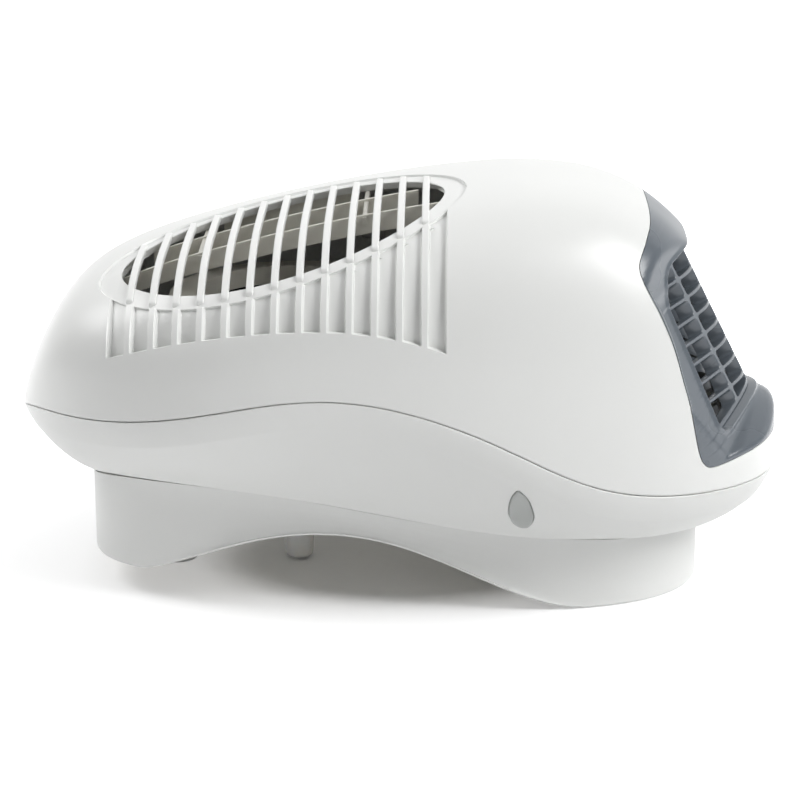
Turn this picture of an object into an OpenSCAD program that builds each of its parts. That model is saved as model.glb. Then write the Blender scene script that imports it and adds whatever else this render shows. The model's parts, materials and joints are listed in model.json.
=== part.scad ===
// Mouse-shaped fan heater, lying on its back on one post and the foot of its base.
// X runs from the air intake end (-) to the outlet end (+), Y across, Z up from the floor.

/* [Body] */
// Length of the body along X
body_len = 320; // [300:1:340]
// Widest half width, at the joint between cover and lower shell
body_half_w = 86; // [80:0.5:92]
// Highest point of the cover above the floor
body_top = 173.3; // [168:0.1:182]
// Wall of the cover and of the lower shell
wall = 3.2; // [2.8:0.1:3.8]
// Gap between parts that are screwed or clipped together
seat_gap = 0.3; // [0.2:0.05:0.5]

/* [Joint line] */
// Height of the joint line along the intake half
joint_high = 83.1; // [79:0.1:87]
// Height of the joint line at the outlet end
joint_low = 50.9; // [47:0.1:54]
// How far the wave of the joint line rises above its intake half
joint_wave = 16.1; // [12:0.1:18]
// Depth of the upright band of the lower shell below the joint line
band_h = 12; // [9:0.5:14]

/* [Base] */
// Half width of the base
base_half_w = 62; // [58:0.5:66]
// Intake end of the base, from the middle of the body
base_left = 131; // [124:1:136]
// Outlet end of the base, from the middle of the body
base_right = 128; // [120:1:134]
// Height of the rim of the base at the intake end
base_rim_h = 12.7; // [10:0.1:16]
// Height of the arch under the base
arch_h = 33.2; // [28:0.1:35]
// Where the top of the arch is
arch_x = -32; // [-40:1:-25]
// Wall of the base
base_wall = 2.8; // [2.4:0.1:3.4]

/* [Intake] */
// Pitch of the ribs and of the pockets on the sides
rib_pitch = 9.92; // [9:0.01:10.4]
// Thickness of a rib
rib_t = 3; // [2.4:0.1:3.4]
// Depth of a rib below the skin
rib_d = 3; // [2.6:0.1:4]
// Number of pockets on each side
pocket_n = 14; // [10:1:14]
// Depth of a pocket
pocket_d = 1.9; // [1:0.1:2.2]
// Half width of the opening
intake_half_w = 45; // [41:0.5:47]
// Half length of the opening
intake_half_len = 66.5; // [62:0.5:68]
// Width of the sunk border around the opening
intake_border = 4.5; // [3:0.1:6]
// Depth of the sunk border
intake_sink = 1.1; // [0.6:0.1:1.5]
// Middle of the opening along X
intake_x = -48; // [-52:0.5:-44]
// Middle of the opening across the body, nearer to the side of the button
intake_y = -23.5; // [-26:0.5:-20]
// Thickness of a guard blade
blade_t = 1.8; // [1.4:0.1:2.4]
// Height of a guard blade
blade_h = 8; // [5:0.5:10]
// Spacing of the guard blades
blade_pitch = 25; // [20:0.5:27]

/* [Outlet] */
// Lean of the outlet face from upright, in degrees
face_lean = 27; // [22:0.5:30]
// Half width of the outlet opening
outlet_half_w = 43; // [38:0.5:46]
// Height of the outlet opening along its slope
outlet_h = 69; // [64:0.5:71]
// Number of rows of cells
cell_rows = 8; // [6:1:9]
// Number of columns of cells
cell_cols = 4; // [2:2:6]
// Thickness of the level bars of the grille
row_bar = 1.7; // [1.4:0.1:2.2]
// Thickness of the upright bars of the grille
col_bar = 2.4; // [1.8:0.1:3]
// Depth of the grille bars
grille_d = 7; // [5:0.5:9]
// How far the grille sits back from the face of its frame
grille_set = 2.2; // [1.5:0.1:3.5]

/* [Button] */
// Width of the egg-shaped button
button_w = 11; // [9:0.5:13]
// Length of the button
button_l = 22.5; // [19:0.5:24]
// Travel of the button
button_travel = 2.5; // [1.5:0.1:3]
// Gap around the button
button_gap = 0.35; // [0.25:0.05:0.6]
// Diameter of the stem behind the button
stem_d = 6; // [5:0.2:7]

/* [Post and cable entry] */
// Diameter of the post that carries the intake end
post_d = 17; // [14:0.5:20]
// Middle of the post along X
post_x = -97; // [-104:1:-92]
// Thickness of the rubber pad under the post
pad_t = 2; // [1.5:0.1:3]
// Diameter of the screw hole through the post
post_hole_d = 5; // [4:0.1:6]
// Outer diameter of the cable entry sleeve at its mouth
gland_d = 12; // [11:0.1:13]
// Bore of the cable entry sleeve
gland_bore = 7.6; // [6:0.1:8.4]
// Middle of the cable entry along X
gland_x = -44; // [-50:1:-40]

/* [Blower] */
// Diameter of the fan wheel
wheel_d = 88; // [82:1:92]
// Height of the fan wheel
wheel_h = 32; // [28:1:34]
// Number of blades on the wheel
wheel_blades = 32; // [20:1:40]
// Middle of the fan wheel along X
wheel_x = -47; // [-50:0.5:-44]
// Lowest side of the blower housing
housing_z = 76; // [74:0.5:78]
// Height of the blower housing
housing_h = 42; // [40:0.5:44]
// Wall of the blower housing
housing_wall = 1.8; // [1.4:0.1:2.2]
// Running gap around the fan wheel
wheel_gap = 2.5; // [2:0.1:4]
// Diameter of the motor shaft
shaft_d = 5; // [4:0.1:6]
// Running clearance of the shaft in its bushes, on the radius
shaft_play = 0.03; // [0.02:0.01:0.06]

/* [Motor] */
// Diameter of the motor can
motor_d = 46; // [40:0.5:50]
// Height of the motor can
motor_h = 20; // [18:0.5:22]
// Wall of the motor can
motor_wall = 1.5; // [1.2:0.1:2]
// Circle of the motor screws
motor_pcd = 62; // [58:0.5:66]
// Number of motor screws
motor_screw_n = 3; // [3:1:4]
// Diameter of the motor screws
motor_screw_d = 4; // [3:0.1:4.5]

/* [Heater] */
// Half width of the heating block
heater_half_w = 36; // [32:0.5:37]
// Thickness of the heating block along the air stream
heater_t = 15; // [12:0.5:18]
// How far the heating block sits behind the outlet face
heater_back = 32; // [31:0.5:34]
// Number of ceramic rows in the heating block
ceramic_rows = 4; // [3:1:5]
// Height of a ceramic row
ceramic_h = 2.4; // [2:0.1:3]
// Width of the heater frame border
heater_border = 5; // [4:0.5:6]

/* [Fasteners] */
// Diameter of the case screws
screw_d = 3.5; // [3:0.1:4]
// Head diameter of the case screws
screw_head = 7; // [6:0.1:8]
// Outer diameter of the screw posts
boss_d = 9; // [8:0.5:10]

/* [Hidden] */
$fn = 48;
half_len = body_len / 2;
eps = 0.01;
// Length of a cut that runs right through
through = 200;
white = "whitesmoke";
grey = "slategray";

// Outline of the body seen from above: one superellipse each side of its widest place
wide_x = -35;
left_pow = 2.35;
right_pow = 2.5;
function egg(x, mid, left, right, w, n_left, n_right) =
  let (u = x < mid ? (mid - x) / left : (x - mid) / right, n = x < mid ? n_left : n_right)
  w * pow(max(0, 1 - pow(min(1, abs(u)), n)), 1 / n);
function half_w(x) = egg(x, wide_x, half_len + wide_x, half_len - wide_x, body_half_w, left_pow, right_pow);

// Height of the joint line: a step down to the outlet end, a wave and a drop at the intake end
step_x = 59.8;
step_w = 19;
wave_x = -27.9;
wave_w = 64.3;
end_drop = 9;
end_drop_w = 6;
function joint_z(x) = joint_low + (joint_high - joint_low) / (1 + exp((x - step_x) / step_w))
  + joint_wave * exp(-pow((x - wave_x) / wave_w, 2)) - end_drop * exp(-(x + half_len) / end_drop_w);

// Height of the cover along the middle: a slow fall to the intake end, a round one to the nose
peak_x = 50;
nose_z = 73;
crest_fall = 16.8;
crest_pow = 1.4;
end_w = 13.5;
end_z = joint_z(-half_len) + 0.5;
end_fall = body_top - crest_fall * pow((peak_x + half_len) / 100, crest_pow) - end_z;
function top_z(x) = x < peak_x
  ? body_top - crest_fall * pow((peak_x - x) / 100, crest_pow) - end_fall * exp(-(x + half_len) / end_w)
  : nose_z + (body_top - nose_z) * pow(max(0, 1 - pow((x - peak_x) / (half_len - peak_x), 2.85)), 0.95);

// Cross section of the cover: a superellipse from the joint line over the top
round_pow = 2 / 3;
function spow(v, p) = sign(v) * pow(abs(v), p);
function skin_z(x, y, inset = 0) = let (s = x * half_len / (half_len - inset), low = joint_z(s))
  low + (top_z(s) - inset - low)
  * pow(max(0, 1 - pow(min(1, abs(y) / max(half_w(s) - inset, 1)), 2 / round_pow)), round_pow / 2);
function section(x, inset, drop, steps) =
  let (s = x * half_len / (half_len - inset), w = max(half_w(s) - inset, 0.5),
       low = joint_z(s) - drop, high = max(top_z(s) - inset, low + 0.5))
  [for (i = [0:steps]) let (v = 180 * i / steps)
    [x, -w * spow(cos(v), round_pow), low + (high - low) * spow(sin(v), round_pow)]];
function skin_rings(inset, drop, stations, steps) = [for (i = [0:stations])
  section(-cos(180 * i / stations) * (half_len - inset), inset, drop, steps)];
// Solid under the skin, closed at the joint line
module dome(inset, drop, stations, steps) {
  n = steps + 1;
  faces = [
    [for (j = [steps:-1:0]) j],
    [for (j = [0:steps]) stations * n + j],
    for (i = [0:stations - 1], j = [0:steps])
      let (a = i * n + j, b = i * n + (j + 1) % n, c = a + n, d = b + n)
      each [[a, b, c], [b, d, c]]];
  polyhedron([for (r = skin_rings(inset, drop, stations, steps)) each r], faces);
}
// Sheet between two depths of the skin, open along the joint line
module sheet(outer, inner, drop, stations, steps) {
  n = steps + 1;
  m = (stations + 1) * n;
  faces = [
    for (i = [0:stations - 1], j = [0:steps - 1])
      let (a = i * n + j, b = a + 1, c = a + n, d = b + n)
      each [[a, b, c], [b, d, c], [m + a, m + c, m + b], [m + b, m + c, m + d]],
    for (i = [0:stations - 1]) let (a = i * n, c = a + n)
      each [[a, c, m + a], [c, m + c, m + a]],
    for (i = [0:stations - 1]) let (a = i * n + steps, c = a + n)
      each [[a, m + a, c], [c, m + a, m + c]],
    for (j = [0:steps - 1]) each [[j, m + j, j + 1], [j + 1, m + j, m + j + 1]],
    for (j = [0:steps - 1]) let (a = stations * n + j)
      each [[a, a + 1, m + a], [a + 1, m + a + 1, m + a]]];
  polyhedron([for (r = skin_rings(outer, 0, stations, steps)) each r,
    for (r = skin_rings(inner, drop, stations, steps)) each r], faces);
}

// Closed loops for the lower parts, at the same stations as the skin, and the wall between them
skin_n = 30;
skin_m = 20;
loop_n = 2 * (skin_n + 1);
tip_w = 0.5;
function loop_x(t, mid, left, right, n_left, n_right) =
  mid + (cos(t) < 0 ? left * spow(cos(t), 2 / n_left) : right * spow(cos(t), 2 / n_right));
function loop_y(t, w, n_left, n_right) = w * spow(sin(t), 2 / (cos(t) < 0 ? n_left : n_right));
// Wall through a round of closed loops, the last one joined to the first
module ring_wall(outer, inner) {
  loops = concat(outer, [for (i = [len(inner) - 1:-1:0]) inner[i]]);
  n = len(loops[0]);
  m = len(loops);
  polyhedron([for (l = loops) each l], [for (i = [0:m - 1], j = [0:n - 1])
    let (k = (i + 1) % m, a = i * n + j, b = i * n + (j + 1) % n, c = k * n + j, d = k * n + (j + 1) % n)
    each [[a, c, b], [b, c, d]]]);
}
function body_loop(inset, dz, tuck = 0) = [for (j = [0:loop_n - 1])
  let (near = j <= skin_n, i = near ? j : loop_n - 1 - j, x = -cos(180 * i / skin_n) * half_len)
  [x * (half_len - inset - tuck) / half_len, (near ? -1 : 1) * max(half_w(x) - inset, tip_w),
    joint_z(x) + dz]];

// Outline of the base, the height of its upper edge and of its rim
base_x = 20;
base_left_pow = 3.3;
base_right_pow = 2.7;
edge_low = 28;
edge_rise = 27;
edge_w = 35;
edge_dip = 7;
waist_full = 24;
rim_end = -108;
arch_end = 80;
function ease(t) = let (u = max(0, min(1, t))) u * u * (3 - 2 * u);
function edge_z(x) = edge_low + edge_rise / (1 + exp((x + 4) / edge_w))
  - edge_dip * exp(-(x + base_left) / 10);
function share_of(x, from, to) = max(0, min(1, (x - from) / (to - from)));
function rim_z(x) = x < arch_x
  ? base_rim_h + (arch_h - base_rim_h) * pow(sin(90 * share_of(x, rim_end, arch_x)), 1.2)
  : arch_h * (1 - ease(pow(share_of(x, arch_x, arch_end), 1.15)));
// waist is how far the long sides draw in, share runs from the rim (0) to the upper edge (1)
function base_loop(inset, waist, share, dz) = [for (j = [0:loop_n - 1])
  let (near = j <= skin_n, i = near ? j : loop_n - 1 - j, t = 180 - 180 * i / skin_n,
    x = loop_x(t, base_x, base_left + base_x - inset, base_right - base_x - inset,
      base_left_pow, base_right_pow),
    y = loop_y(t, base_half_w - inset, base_left_pow, base_right_pow)
      - waist * min(1, (edge_z(x) - rim_z(x)) / waist_full) * pow(sin(t), 3))
  [x, (near ? -1 : 1) * max(y, tip_w), rim_z(x) + (edge_z(x) - rim_z(x)) * share + dz]];

// Outlet face: its own frame, leaning back, with x outward, z up the slope
face_x = 135.5;
face_z = 112.4;
nose_round = 12;
nose_slope = 0.52;
function face_back(y) = nose_slope * (sqrt(y * y + nose_round * nose_round) - nose_round);
module at_face() translate([face_x, 0, face_z]) rotate([0, -face_lean, 0]) children();
module nose_prism(inset, w, h, spread = 1) {
  steps = 20;
  edge = [for (i = [0:steps]) let (y = w * (2 * i / steps - 1)) [-inset - face_back(y) * spread, y]];
  translate([0, 0, -h / 2]) linear_extrude(h) polygon(concat([[-70, -w]], edge, [[-70, w]]));
}
// Side view of the part of the nose that the grey frame takes
frame_side = [[101, 185], [101.5, 162], [99.5, 154.3], [97, 147], [98.4, 141], [101.5, 135], [106.3, 126],
  [111.5, 113.7], [115.6, 100], [118.5, 90], [121.5, 76], [123, 69.8], [125, 65], [129, 62.5], [140, 64],
  [165, 68], [165, 185]];
module frame_zone(grow) rotate([90, 0, 0]) linear_extrude(200, center = true)
  offset(delta = grow) polygon(frame_side);

// Places of the screws that hold cover, shell, base and back panel together
case_screws = [for (side = [-1, 1], p = [[-115, 28], [72, 47]]) [p[0], side * p[1]]];
function tower_top(x) = joint_z(x) + 3.4;
tower_d = 10.4;
tower_web = 3;
well_d = screw_head + 0.6;
head_h = 2.4;

// Middle of a rib, counted from the intake end
pocket_w = rib_pitch - rib_t;
first_pocket = intake_x - 61.5 - pocket_w;
function pocket_x(i) = first_pocket + i * rib_pitch;
foot_x = -28;
foot_z = 127;
function pocket_foot(x) = foot_z - (x < foot_x ? 0.002 : 0.0037) * pow(x - foot_x, 2);
intake_skew = 0.06;
module intake_zone(grow, low) translate([intake_x, intake_y, low]) linear_extrude(200)
  polygon([for (i = [0:59]) let (t = 6 * i, x = (intake_half_len + grow * 2) * cos(t))
    [x, (intake_half_w + grow) * sin(t) + intake_skew * x]]);

// A screw post with two gussets, hanging from z_top down to z_low
gusset_share = 0.55;
module case_post(z_low, z_top) {
  difference() {
    union() {
      translate([0, 0, z_low]) cylinder(d = boss_d, h = z_top - z_low);
      for (a = [0, 90])
        rotate([0, 0, a]) hull() {
          translate([-boss_d, -1, z_top - 1]) cube([2 * boss_d, 2, 1]);
          translate([-boss_d / 2, -1, z_low + (z_top - z_low) * gusset_share]) cube([boss_d, 2, 1]);
        }
    }
    translate([0, 0, z_low - 1]) cylinder(d = screw_d - 0.6, h = 16, $fn = 24);
  }
}

rib_proud = 0.15;
rib_tail = 1.5;
far_pocket_y = 60;
pocket_from = 20;
module top_cover() color(white) {
  difference() {
    sheet(0, wall, 0, skin_n, skin_m);
    frame_zone(seat_gap);
    intake_zone(0, 60);
    intersection() {
      intake_zone(intake_border, 60);
      sheet(-1, intake_sink, 0, skin_n, skin_m);
    }
    difference() {
      intersection() {
        for (i = [0:pocket_n - 1], side = [-1, 1])
          translate([pocket_x(i), side > 0 ? far_pocket_y : -through / 2, pocket_foot(pocket_x(i))])
            cube([pocket_w, through / 2 - (side > 0 ? 0 : pocket_from), through]);
        sheet(-1.5, pocket_d, 0, skin_n, skin_m);
      }
      intake_zone(intake_border - 0.5, 60);
    }
  }
  intersection() {
    for (i = [0:pocket_n - 2])
      translate([pocket_x(i) + pocket_w, -through / 2, 60]) cube([rib_t, through, through]);
    intake_zone(intake_border + rib_tail, 60);
    sheet(-rib_proud, rib_d, 0, skin_n, skin_m);
  }
  difference() {
    intersection() {
      for (s = case_screws)
        translate([s[0], s[1], 0]) case_post(tower_top(s[0]) + seat_gap, skin_z(s[0], s[1]));
      dome(wall / 2, 0, 30, 20);
    }
    intake_zone(0, 60);
  }
}

// Guard blades hang under the ribs and run along the body, tied by two cross bars
guard_gap = 0.5;
blade_end = 1;
bar_from = 34;
bar_h = 3;
bar_sink = 1.4;
function blade_span(y) = let (u = min(0.9, abs(y - intake_y) / intake_half_w))
  intake_half_len * sqrt(1 - u * u) - blade_end;
module guard_blade(y) {
  steps = 20;
  reach = blade_span(y);
  top = [for (i = [0:steps]) let (x = intake_x + reach * (2 * i / steps - 1))
    [x, skin_z(x, y, rib_d + guard_gap)]];
  foot = [for (i = [steps:-1:0]) [top[i][0], top[i][1] - blade_h]];
  translate([0, y + blade_t / 2, 0]) rotate([90, 0, 0]) linear_extrude(blade_t)
    polygon(concat(top, foot));
}
module intake_guard() color(white) {
  for (k = [-1:1]) guard_blade(k * blade_pitch);
  for (x = [intake_x - bar_from, intake_x + bar_from])
    translate([x - 1, 0, 0]) rotate([90, 0, 90]) linear_extrude(2) polygon(concat(
      [for (i = [-8:8]) let (y = i * (blade_pitch + blade_t) / 8) [y, skin_z(x, y, rib_d) - bar_sink]],
      [for (i = [8:-1:-8]) let (y = i * (blade_pitch + blade_t) / 8) [y, skin_z(x, y, rib_d) - bar_sink - bar_h]]));
}

// Lower shell: an upright band, then an underside that draws in to the base
band_tuck = 2.5;
end_tuck = 3;
function under_loop(inset) = let (a = body_loop(band_tuck + inset, -band_h, end_tuck), b = base_loop(inset, 0, 1, 0))
  [for (j = [0:loop_n - 1]) (a[j] + b[j]) / 2 + [0, 0, -3]];
button_x = 50.5;
button_dir = [0, 0.876, 0.483];
button_tilt = atan2(button_dir[2], button_dir[1]);
button_in = 13.4;
button_z = 49.2;
button_at = [button_x, button_in - body_half_w, button_z];
module at_button() translate(button_at) rotate([button_tilt, 0, 0]) rotate([-90, 0, 0]) children();
module egg_outline(grow) hull() {
  translate([0, button_l / 2 - button_w / 2]) circle(r = button_w / 2 + grow);
  translate([0, -button_l / 2 + button_w / 2.8]) circle(r = button_w / 2.8 + grow);
}
module lower_shell() color(white) {
  difference() {
    ring_wall([base_loop(0, 0, 1, seat_gap), under_loop(0), body_loop(band_tuck, -band_h, end_tuck),
      body_loop(0, -seat_gap)], [base_loop(wall, 0, 1, seat_gap + 2), under_loop(wall),
      body_loop(band_tuck + wall, -band_h, end_tuck), body_loop(wall, -seat_gap)]);
    at_button() translate([0, 0, -12]) linear_extrude(24) egg_outline(button_gap);
  }
}
module cover_screws() color("silver") {
  for (s = case_screws) translate([s[0], s[1], tower_top(s[0]) - tower_web - 0.05]) {
    translate([0, 0, -head_h]) cylinder(d = screw_head, h = head_h);
    cylinder(d = screw_d - 0.65, h = tower_web + 12);
  }
}

waist_d = 4;
module wall_base() color(white) {
  ring_wall([base_loop(0, 0, 0, 0), base_loop(0, waist_d * 0.7, 0.3, 0), base_loop(0, waist_d, 0.62, 0),
    base_loop(0, waist_d * 0.8, 0.9, 0), base_loop(0, 0, 1, 0)],
    [base_loop(base_wall, 0, 0, 0), base_loop(base_wall, waist_d * 0.7, 0.3, 1),
    base_loop(base_wall, waist_d, 0.62, 0), base_loop(base_wall, waist_d * 0.8, 0.9, 0),
    base_loop(base_wall, 0, 1, 0)]);
}

// Back panel: closes the base from below and follows the arch; carries post, cable entry and pillars
panel_lift = 1.2;
panel_steps = 30;
panel_inset = 2.2;
function panel_z(x) = rim_z(x) + panel_lift;
pillar_at = [[-50, 36], [-50, -36], [48, 36], [48, -36]];
pillar_d = 9;
block_x = -22;
block_y = 36;
block_l = 20;
ear_l = 6;
shelf_z = 38;
shelf_t = 3.5;
clamp_at = [-33, 19];
clamp_turn = -31;
clamp_l = 26;
wiring_screw_d = 3;
wiring_screws_at = [[block_x - 13, block_y, 3], [block_x + 13, block_y, 3],
  for (side = [-1, 1]) [clamp_at[0] + side * 9.5 * cos(clamp_turn), clamp_at[1] + side * 9.5 * sin(clamp_turn), 8]];
panel_xs = [for (i = [0:panel_steps])
  -base_left - 2 + (base_left + base_right + 4) * i / panel_steps];
module above_panel(gap) rotate([90, 0, 0]) linear_extrude(through, center = true) polygon(concat(
  [for (x = panel_xs) [x, panel_z(x) - gap]], [[base_right, through], [-base_left, through]]));
module panel_outline(inset) polygon([for (p = base_loop(base_wall + inset, 0, 0, 0)) [p[0], p[1]]]);
module back_panel() color(white) {
  difference() {
    intersection() {
      rotate([90, 0, 0]) linear_extrude(160, center = true) polygon(concat(
        [for (x = panel_xs) [x, panel_z(x)]],
        [for (i = [panel_steps:-1:0]) [panel_xs[i], panel_z(panel_xs[i]) + base_wall]]));
      linear_extrude(80) panel_outline(panel_inset);
    }
    translate([post_x, 0, -1]) cylinder(d = post_spigot_d + seat_gap, h = through);
    translate([gland_x, 0, -1]) cylinder(d = gland_thread_d + seat_gap, h = through);
    for (p = pillar_at)
      translate([wheel_x + p[0], p[1], -1]) cylinder(d = screw_d + 0.5, h = through);
    for (s = case_screws) translate([s[0], s[1], -1]) cylinder(d = well_d, h = through);
    for (p = wiring_screws_at) translate([p[0], p[1], 0]) cylinder(d = wiring_screw_d - 0.1, h = through);
  }
  difference() {
    union() {
      translate([block_x - block_l / 2 - ear_l, block_y - 8, shelf_z - shelf_t])
        cube([block_l + 2 * ear_l, 16, shelf_t]);
      translate([clamp_at[0], clamp_at[1], shelf_z - shelf_t]) rotate([0, 0, clamp_turn])
        translate([-clamp_l / 2, -4, 0]) cube([clamp_l, 8, shelf_t]);
    }
    for (p = wiring_screws_at) translate([p[0], p[1], 0]) cylinder(d = wiring_screw_d - 0.1, h = through);
  }
  for (s = case_screws) let (low = panel_z(s[0]) + 1) translate([s[0], s[1], low]) difference() {
    cylinder(d = tower_d, h = tower_top(s[0]) - low);
    translate([0, 0, -3]) cylinder(d = well_d, h = tower_top(s[0]) - tower_web - low + 3);
    cylinder(d = screw_d + 0.4, h = through);
  }
}

// Post under the intake end, with the hole for the screw that holds it
post_spigot_d = post_hole_d + 5;
module support_post() color(white) {
  difference() {
    union() {
      difference() {
        translate([post_x, 0, pad_t]) cylinder(d = post_d, h = panel_z(post_x + post_d) - pad_t);
        above_panel(0.1);
      }
      translate([post_x, 0, pad_t]) cylinder(d = post_spigot_d, h = panel_z(post_x) + base_wall + 3 - pad_t);
    }
    translate([post_x, 0, -1]) cylinder(d = post_hole_d, h = through);
    translate([post_x, 0, -1]) cylinder(d = post_hole_d + 4, h = 1 + pad_t + 3);
  }
}
module post_pad() color("dimgray") {
  difference() {
    translate([post_x, 0, 0]) cylinder(d = post_d, h = pad_t);
    translate([post_x, 0, -1]) cylinder(d = post_hole_d + 4, h = 8);
  }
}

// Cable entry: a tapered sleeve with a threaded neck, held by a nut inside
gland_thread_d = gland_bore + 3.4;
gland_foot = 1.2;
gland_top = panel_z(gland_x - gland_d / 2 - 1.4) - 0.1;
nut_z = panel_z(gland_x + gland_thread_d / 2 + 3) + base_wall + 0.1;
nut_h = 3.6;
module cable_gland() color(white) {
  difference() {
    union() {
      translate([gland_x, 0, gland_foot])
        cylinder(d1 = gland_d, d2 = gland_d + 2.8, h = gland_top - gland_foot);
      translate([gland_x, 0, gland_top - 1]) cylinder(d = gland_thread_d, h = nut_z + nut_h + 1.2 - gland_top);
    }
    translate([gland_x, 0, 0]) cylinder(d = gland_bore, h = through);
  }
}
module gland_nut() color("gainsboro") {
  difference() {
    translate([gland_x, 0, nut_z]) cylinder(d = gland_thread_d + 6, h = nut_h, $fn = 6);
    translate([gland_x, 0, 0]) cylinder(d = gland_thread_d + 2 * shaft_play, h = through);
  }
}

// Pillars between the back panel and the blower housing
module pillars() color("gainsboro") {
  for (p = pillar_at) let (x = wheel_x + p[0],
    low = max(panel_z(x - pillar_d / 2), panel_z(x + pillar_d / 2)) + base_wall + 0.3)
    translate([x, p[1], low]) difference() {
      cylinder(d = pillar_d, h = housing_z - low);
      translate([0, 0, -1]) cylinder(d = screw_d - 0.5, h = through);
    }
}

module base_screws() color("silver") {
  for (p = pillar_at) let (x = wheel_x + p[0],
    top = min(panel_z(x - screw_head / 2), panel_z(x + screw_head / 2)) - 0.05)
    translate([x, p[1], top]) {
      translate([0, 0, -2.2]) cylinder(d = screw_head, h = 2.2);
      cylinder(d = screw_d - 0.55, h = 14);
    }
}

// Blower housing: a spiral bowl with a straight mouth towards the outlet
volute_in = wheel_d / 2 + 3.5;
volute_out = wheel_d / 2 + 7;
mouth_x = 66;
mouth_cut = 20;
function volute(inset) = concat(
  [for (i = [0:22]) let (t = 325 - 235 * i / 22, r = volute_in + (volute_out - volute_in) * i / 22 - inset)
    [r * cos(t), r * sin(t)]],
  [[mouth_x, volute_out - inset], [mouth_x, -volute_in * 0.62 + inset]]);
module blower_bowl() color("silver") {
  translate([wheel_x, 0, housing_z]) difference() {
    union() {
      linear_extrude(housing_h) polygon(volute(0));
      for (p = pillar_at) hull() {
        translate([p[0], p[1], 0]) cylinder(d = pillar_d, h = housing_wall, $fn = 32);
        translate([p[0] * 0.7, p[1] * 0.7, 0]) cylinder(d = pillar_d, h = housing_wall, $fn = 32);
      }
    }
    translate([0, 0, housing_wall]) linear_extrude(housing_h) polygon(volute(housing_wall));
    translate([mouth_x - 5, -volute_in * 0.62 + housing_wall, housing_wall])
      cube([mouth_cut, volute_out + volute_in * 0.62 - 2 * housing_wall, housing_h]);
    translate([0, 0, -1]) cylinder(d = motor_screw_d * 4, h = 10);
    for (p = pillar_at) translate([p[0], p[1], -1]) cylinder(d = screw_d + 0.4, h = 20);
    for (i = [0:motor_screw_n - 1]) rotate([0, 0, 360 * i / motor_screw_n + 30])
      translate([motor_pcd / 2, 0, -1]) cylinder(d = grommet_neck_d + 0.2, h = 10);
  }
}
inlet_d = wheel_d - 16;
module blower_cover() color("gainsboro") {
  translate([wheel_x, 0, housing_z + housing_h + 0.1]) difference() {
    union() {
      linear_extrude(housing_wall) polygon(volute(-1.2));
      translate([0, 0, -4]) cylinder(d = inlet_d + 4, h = 4 + housing_wall + 2);
    }
    translate([0, 0, -10]) cylinder(d = inlet_d, h = through);
  }
}
module blower_screws() color("silver") {
  for (p = pillar_at) translate([wheel_x + p[0], p[1], housing_z + housing_wall + 0.05]) {
    cylinder(d = screw_head, h = 2.2);
    translate([0, 0, -12]) cylinder(d = screw_d - 0.55, h = 12.5);
  }
}

// Fan wheel: two rings, a bottom disc and forward-curved blades
blade_in = wheel_d / 2 - 9;
wheel_z = housing_z + housing_wall + wheel_gap;
module fan_wheel() color("dimgray") {
  translate([wheel_x, 0, wheel_z]) {
    difference() {
      cylinder(d = wheel_d - 1, h = 1.6);
      translate([0, 0, -1]) cylinder(d = hub_d + 2 * shaft_fit, h = 4);
    }
    difference() {
      translate([0, 0, wheel_h - 2.5]) cylinder(d = wheel_d, h = 2.5);
      translate([0, 0, wheel_h - 4]) cylinder(d = wheel_d - 4, h = 6);
    }
    for (i = [0:wheel_blades - 1]) rotate([0, 0, 360 * i / wheel_blades])
      translate([blade_in, 0, 0.8]) linear_extrude(wheel_h - 1.6)
        polygon([[-0.3, -0.5], [4.5, -1.1], [8.2, 1.2], [8.4, 2.2], [4.3, 0.1], [-0.3, 0.5]]);
  }
}
hub_d = 22;
module wheel_hub() color("gray") {
  translate([wheel_x, 0, wheel_z]) difference() {
    union() {
      cylinder(d = hub_d, h = 3);
      cylinder(d = 13, h = 18);
    }
    translate([0, 0, 1.6]) difference() {
      cylinder(d = hub_d + 2, h = 3);
      translate([0, 0, -1]) cylinder(d = 13, h = 6);
    }
    translate([0, 0, -2]) cylinder(d = shaft_d + 2 * shaft_fit, h = through);
  }
}
shaft_fit = 0.01;
module motor_shaft() color("silver") {
  translate([wheel_x, 0, shaft_low]) cylinder(d = shaft_d, h = wheel_z + 17 - shaft_low);
}

// Motor below the bowl: can, cap, bushes, stator and rotor
cap_t = 2;
bracket_t = 1.6;
grommet_h = 5;
grommet_neck_d = 7;
bracket_z = housing_z - grommet_h - bracket_t + 0.8;
cap_z = bracket_z - cap_t;
can_z = cap_z - motor_h;
shaft_low = can_z - 3;
bush_d = 10;
module motor_can() color("lightgray") {
  translate([wheel_x, 0, can_z]) difference() {
    cylinder(d = motor_d, h = motor_h);
    translate([0, 0, motor_wall]) cylinder(d = motor_d - 2 * motor_wall, h = motor_h);
    translate([0, 0, -1]) cylinder(d = bush_d, h = 9);
  }
}
module motor_cap() color("lightgray") {
  translate([wheel_x, 0, cap_z]) difference() {
    cylinder(d = motor_d, h = cap_t);
    translate([0, 0, -1]) cylinder(d = bush_d, h = 9);
  }
}
module bush(z) translate([wheel_x, 0, z]) difference() {
  union() {
    cylinder(d = bush_d - 2 * shaft_fit, h = 5);
    cylinder(d = bush_d + 3, h = 1.2);
  }
  translate([0, 0, -1]) cylinder(d = shaft_d + 2 * shaft_play, h = 9);
}
module lower_bush() color("goldenrod") bush(can_z - 1.2);
module upper_bush() color("goldenrod") bush(cap_z - 1.2);
rotor_gap = 0.5;
rotor_h = motor_h - motor_wall - 10;
module motor_rotor() color("darkgray") {
  translate([wheel_x, 0, can_z + motor_wall + 4]) difference() {
    cylinder(d = motor_d * 0.55, h = rotor_h);
    translate([0, 0, -1]) cylinder(d = shaft_d + 2 * shaft_fit, h = through);
  }
}
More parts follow.
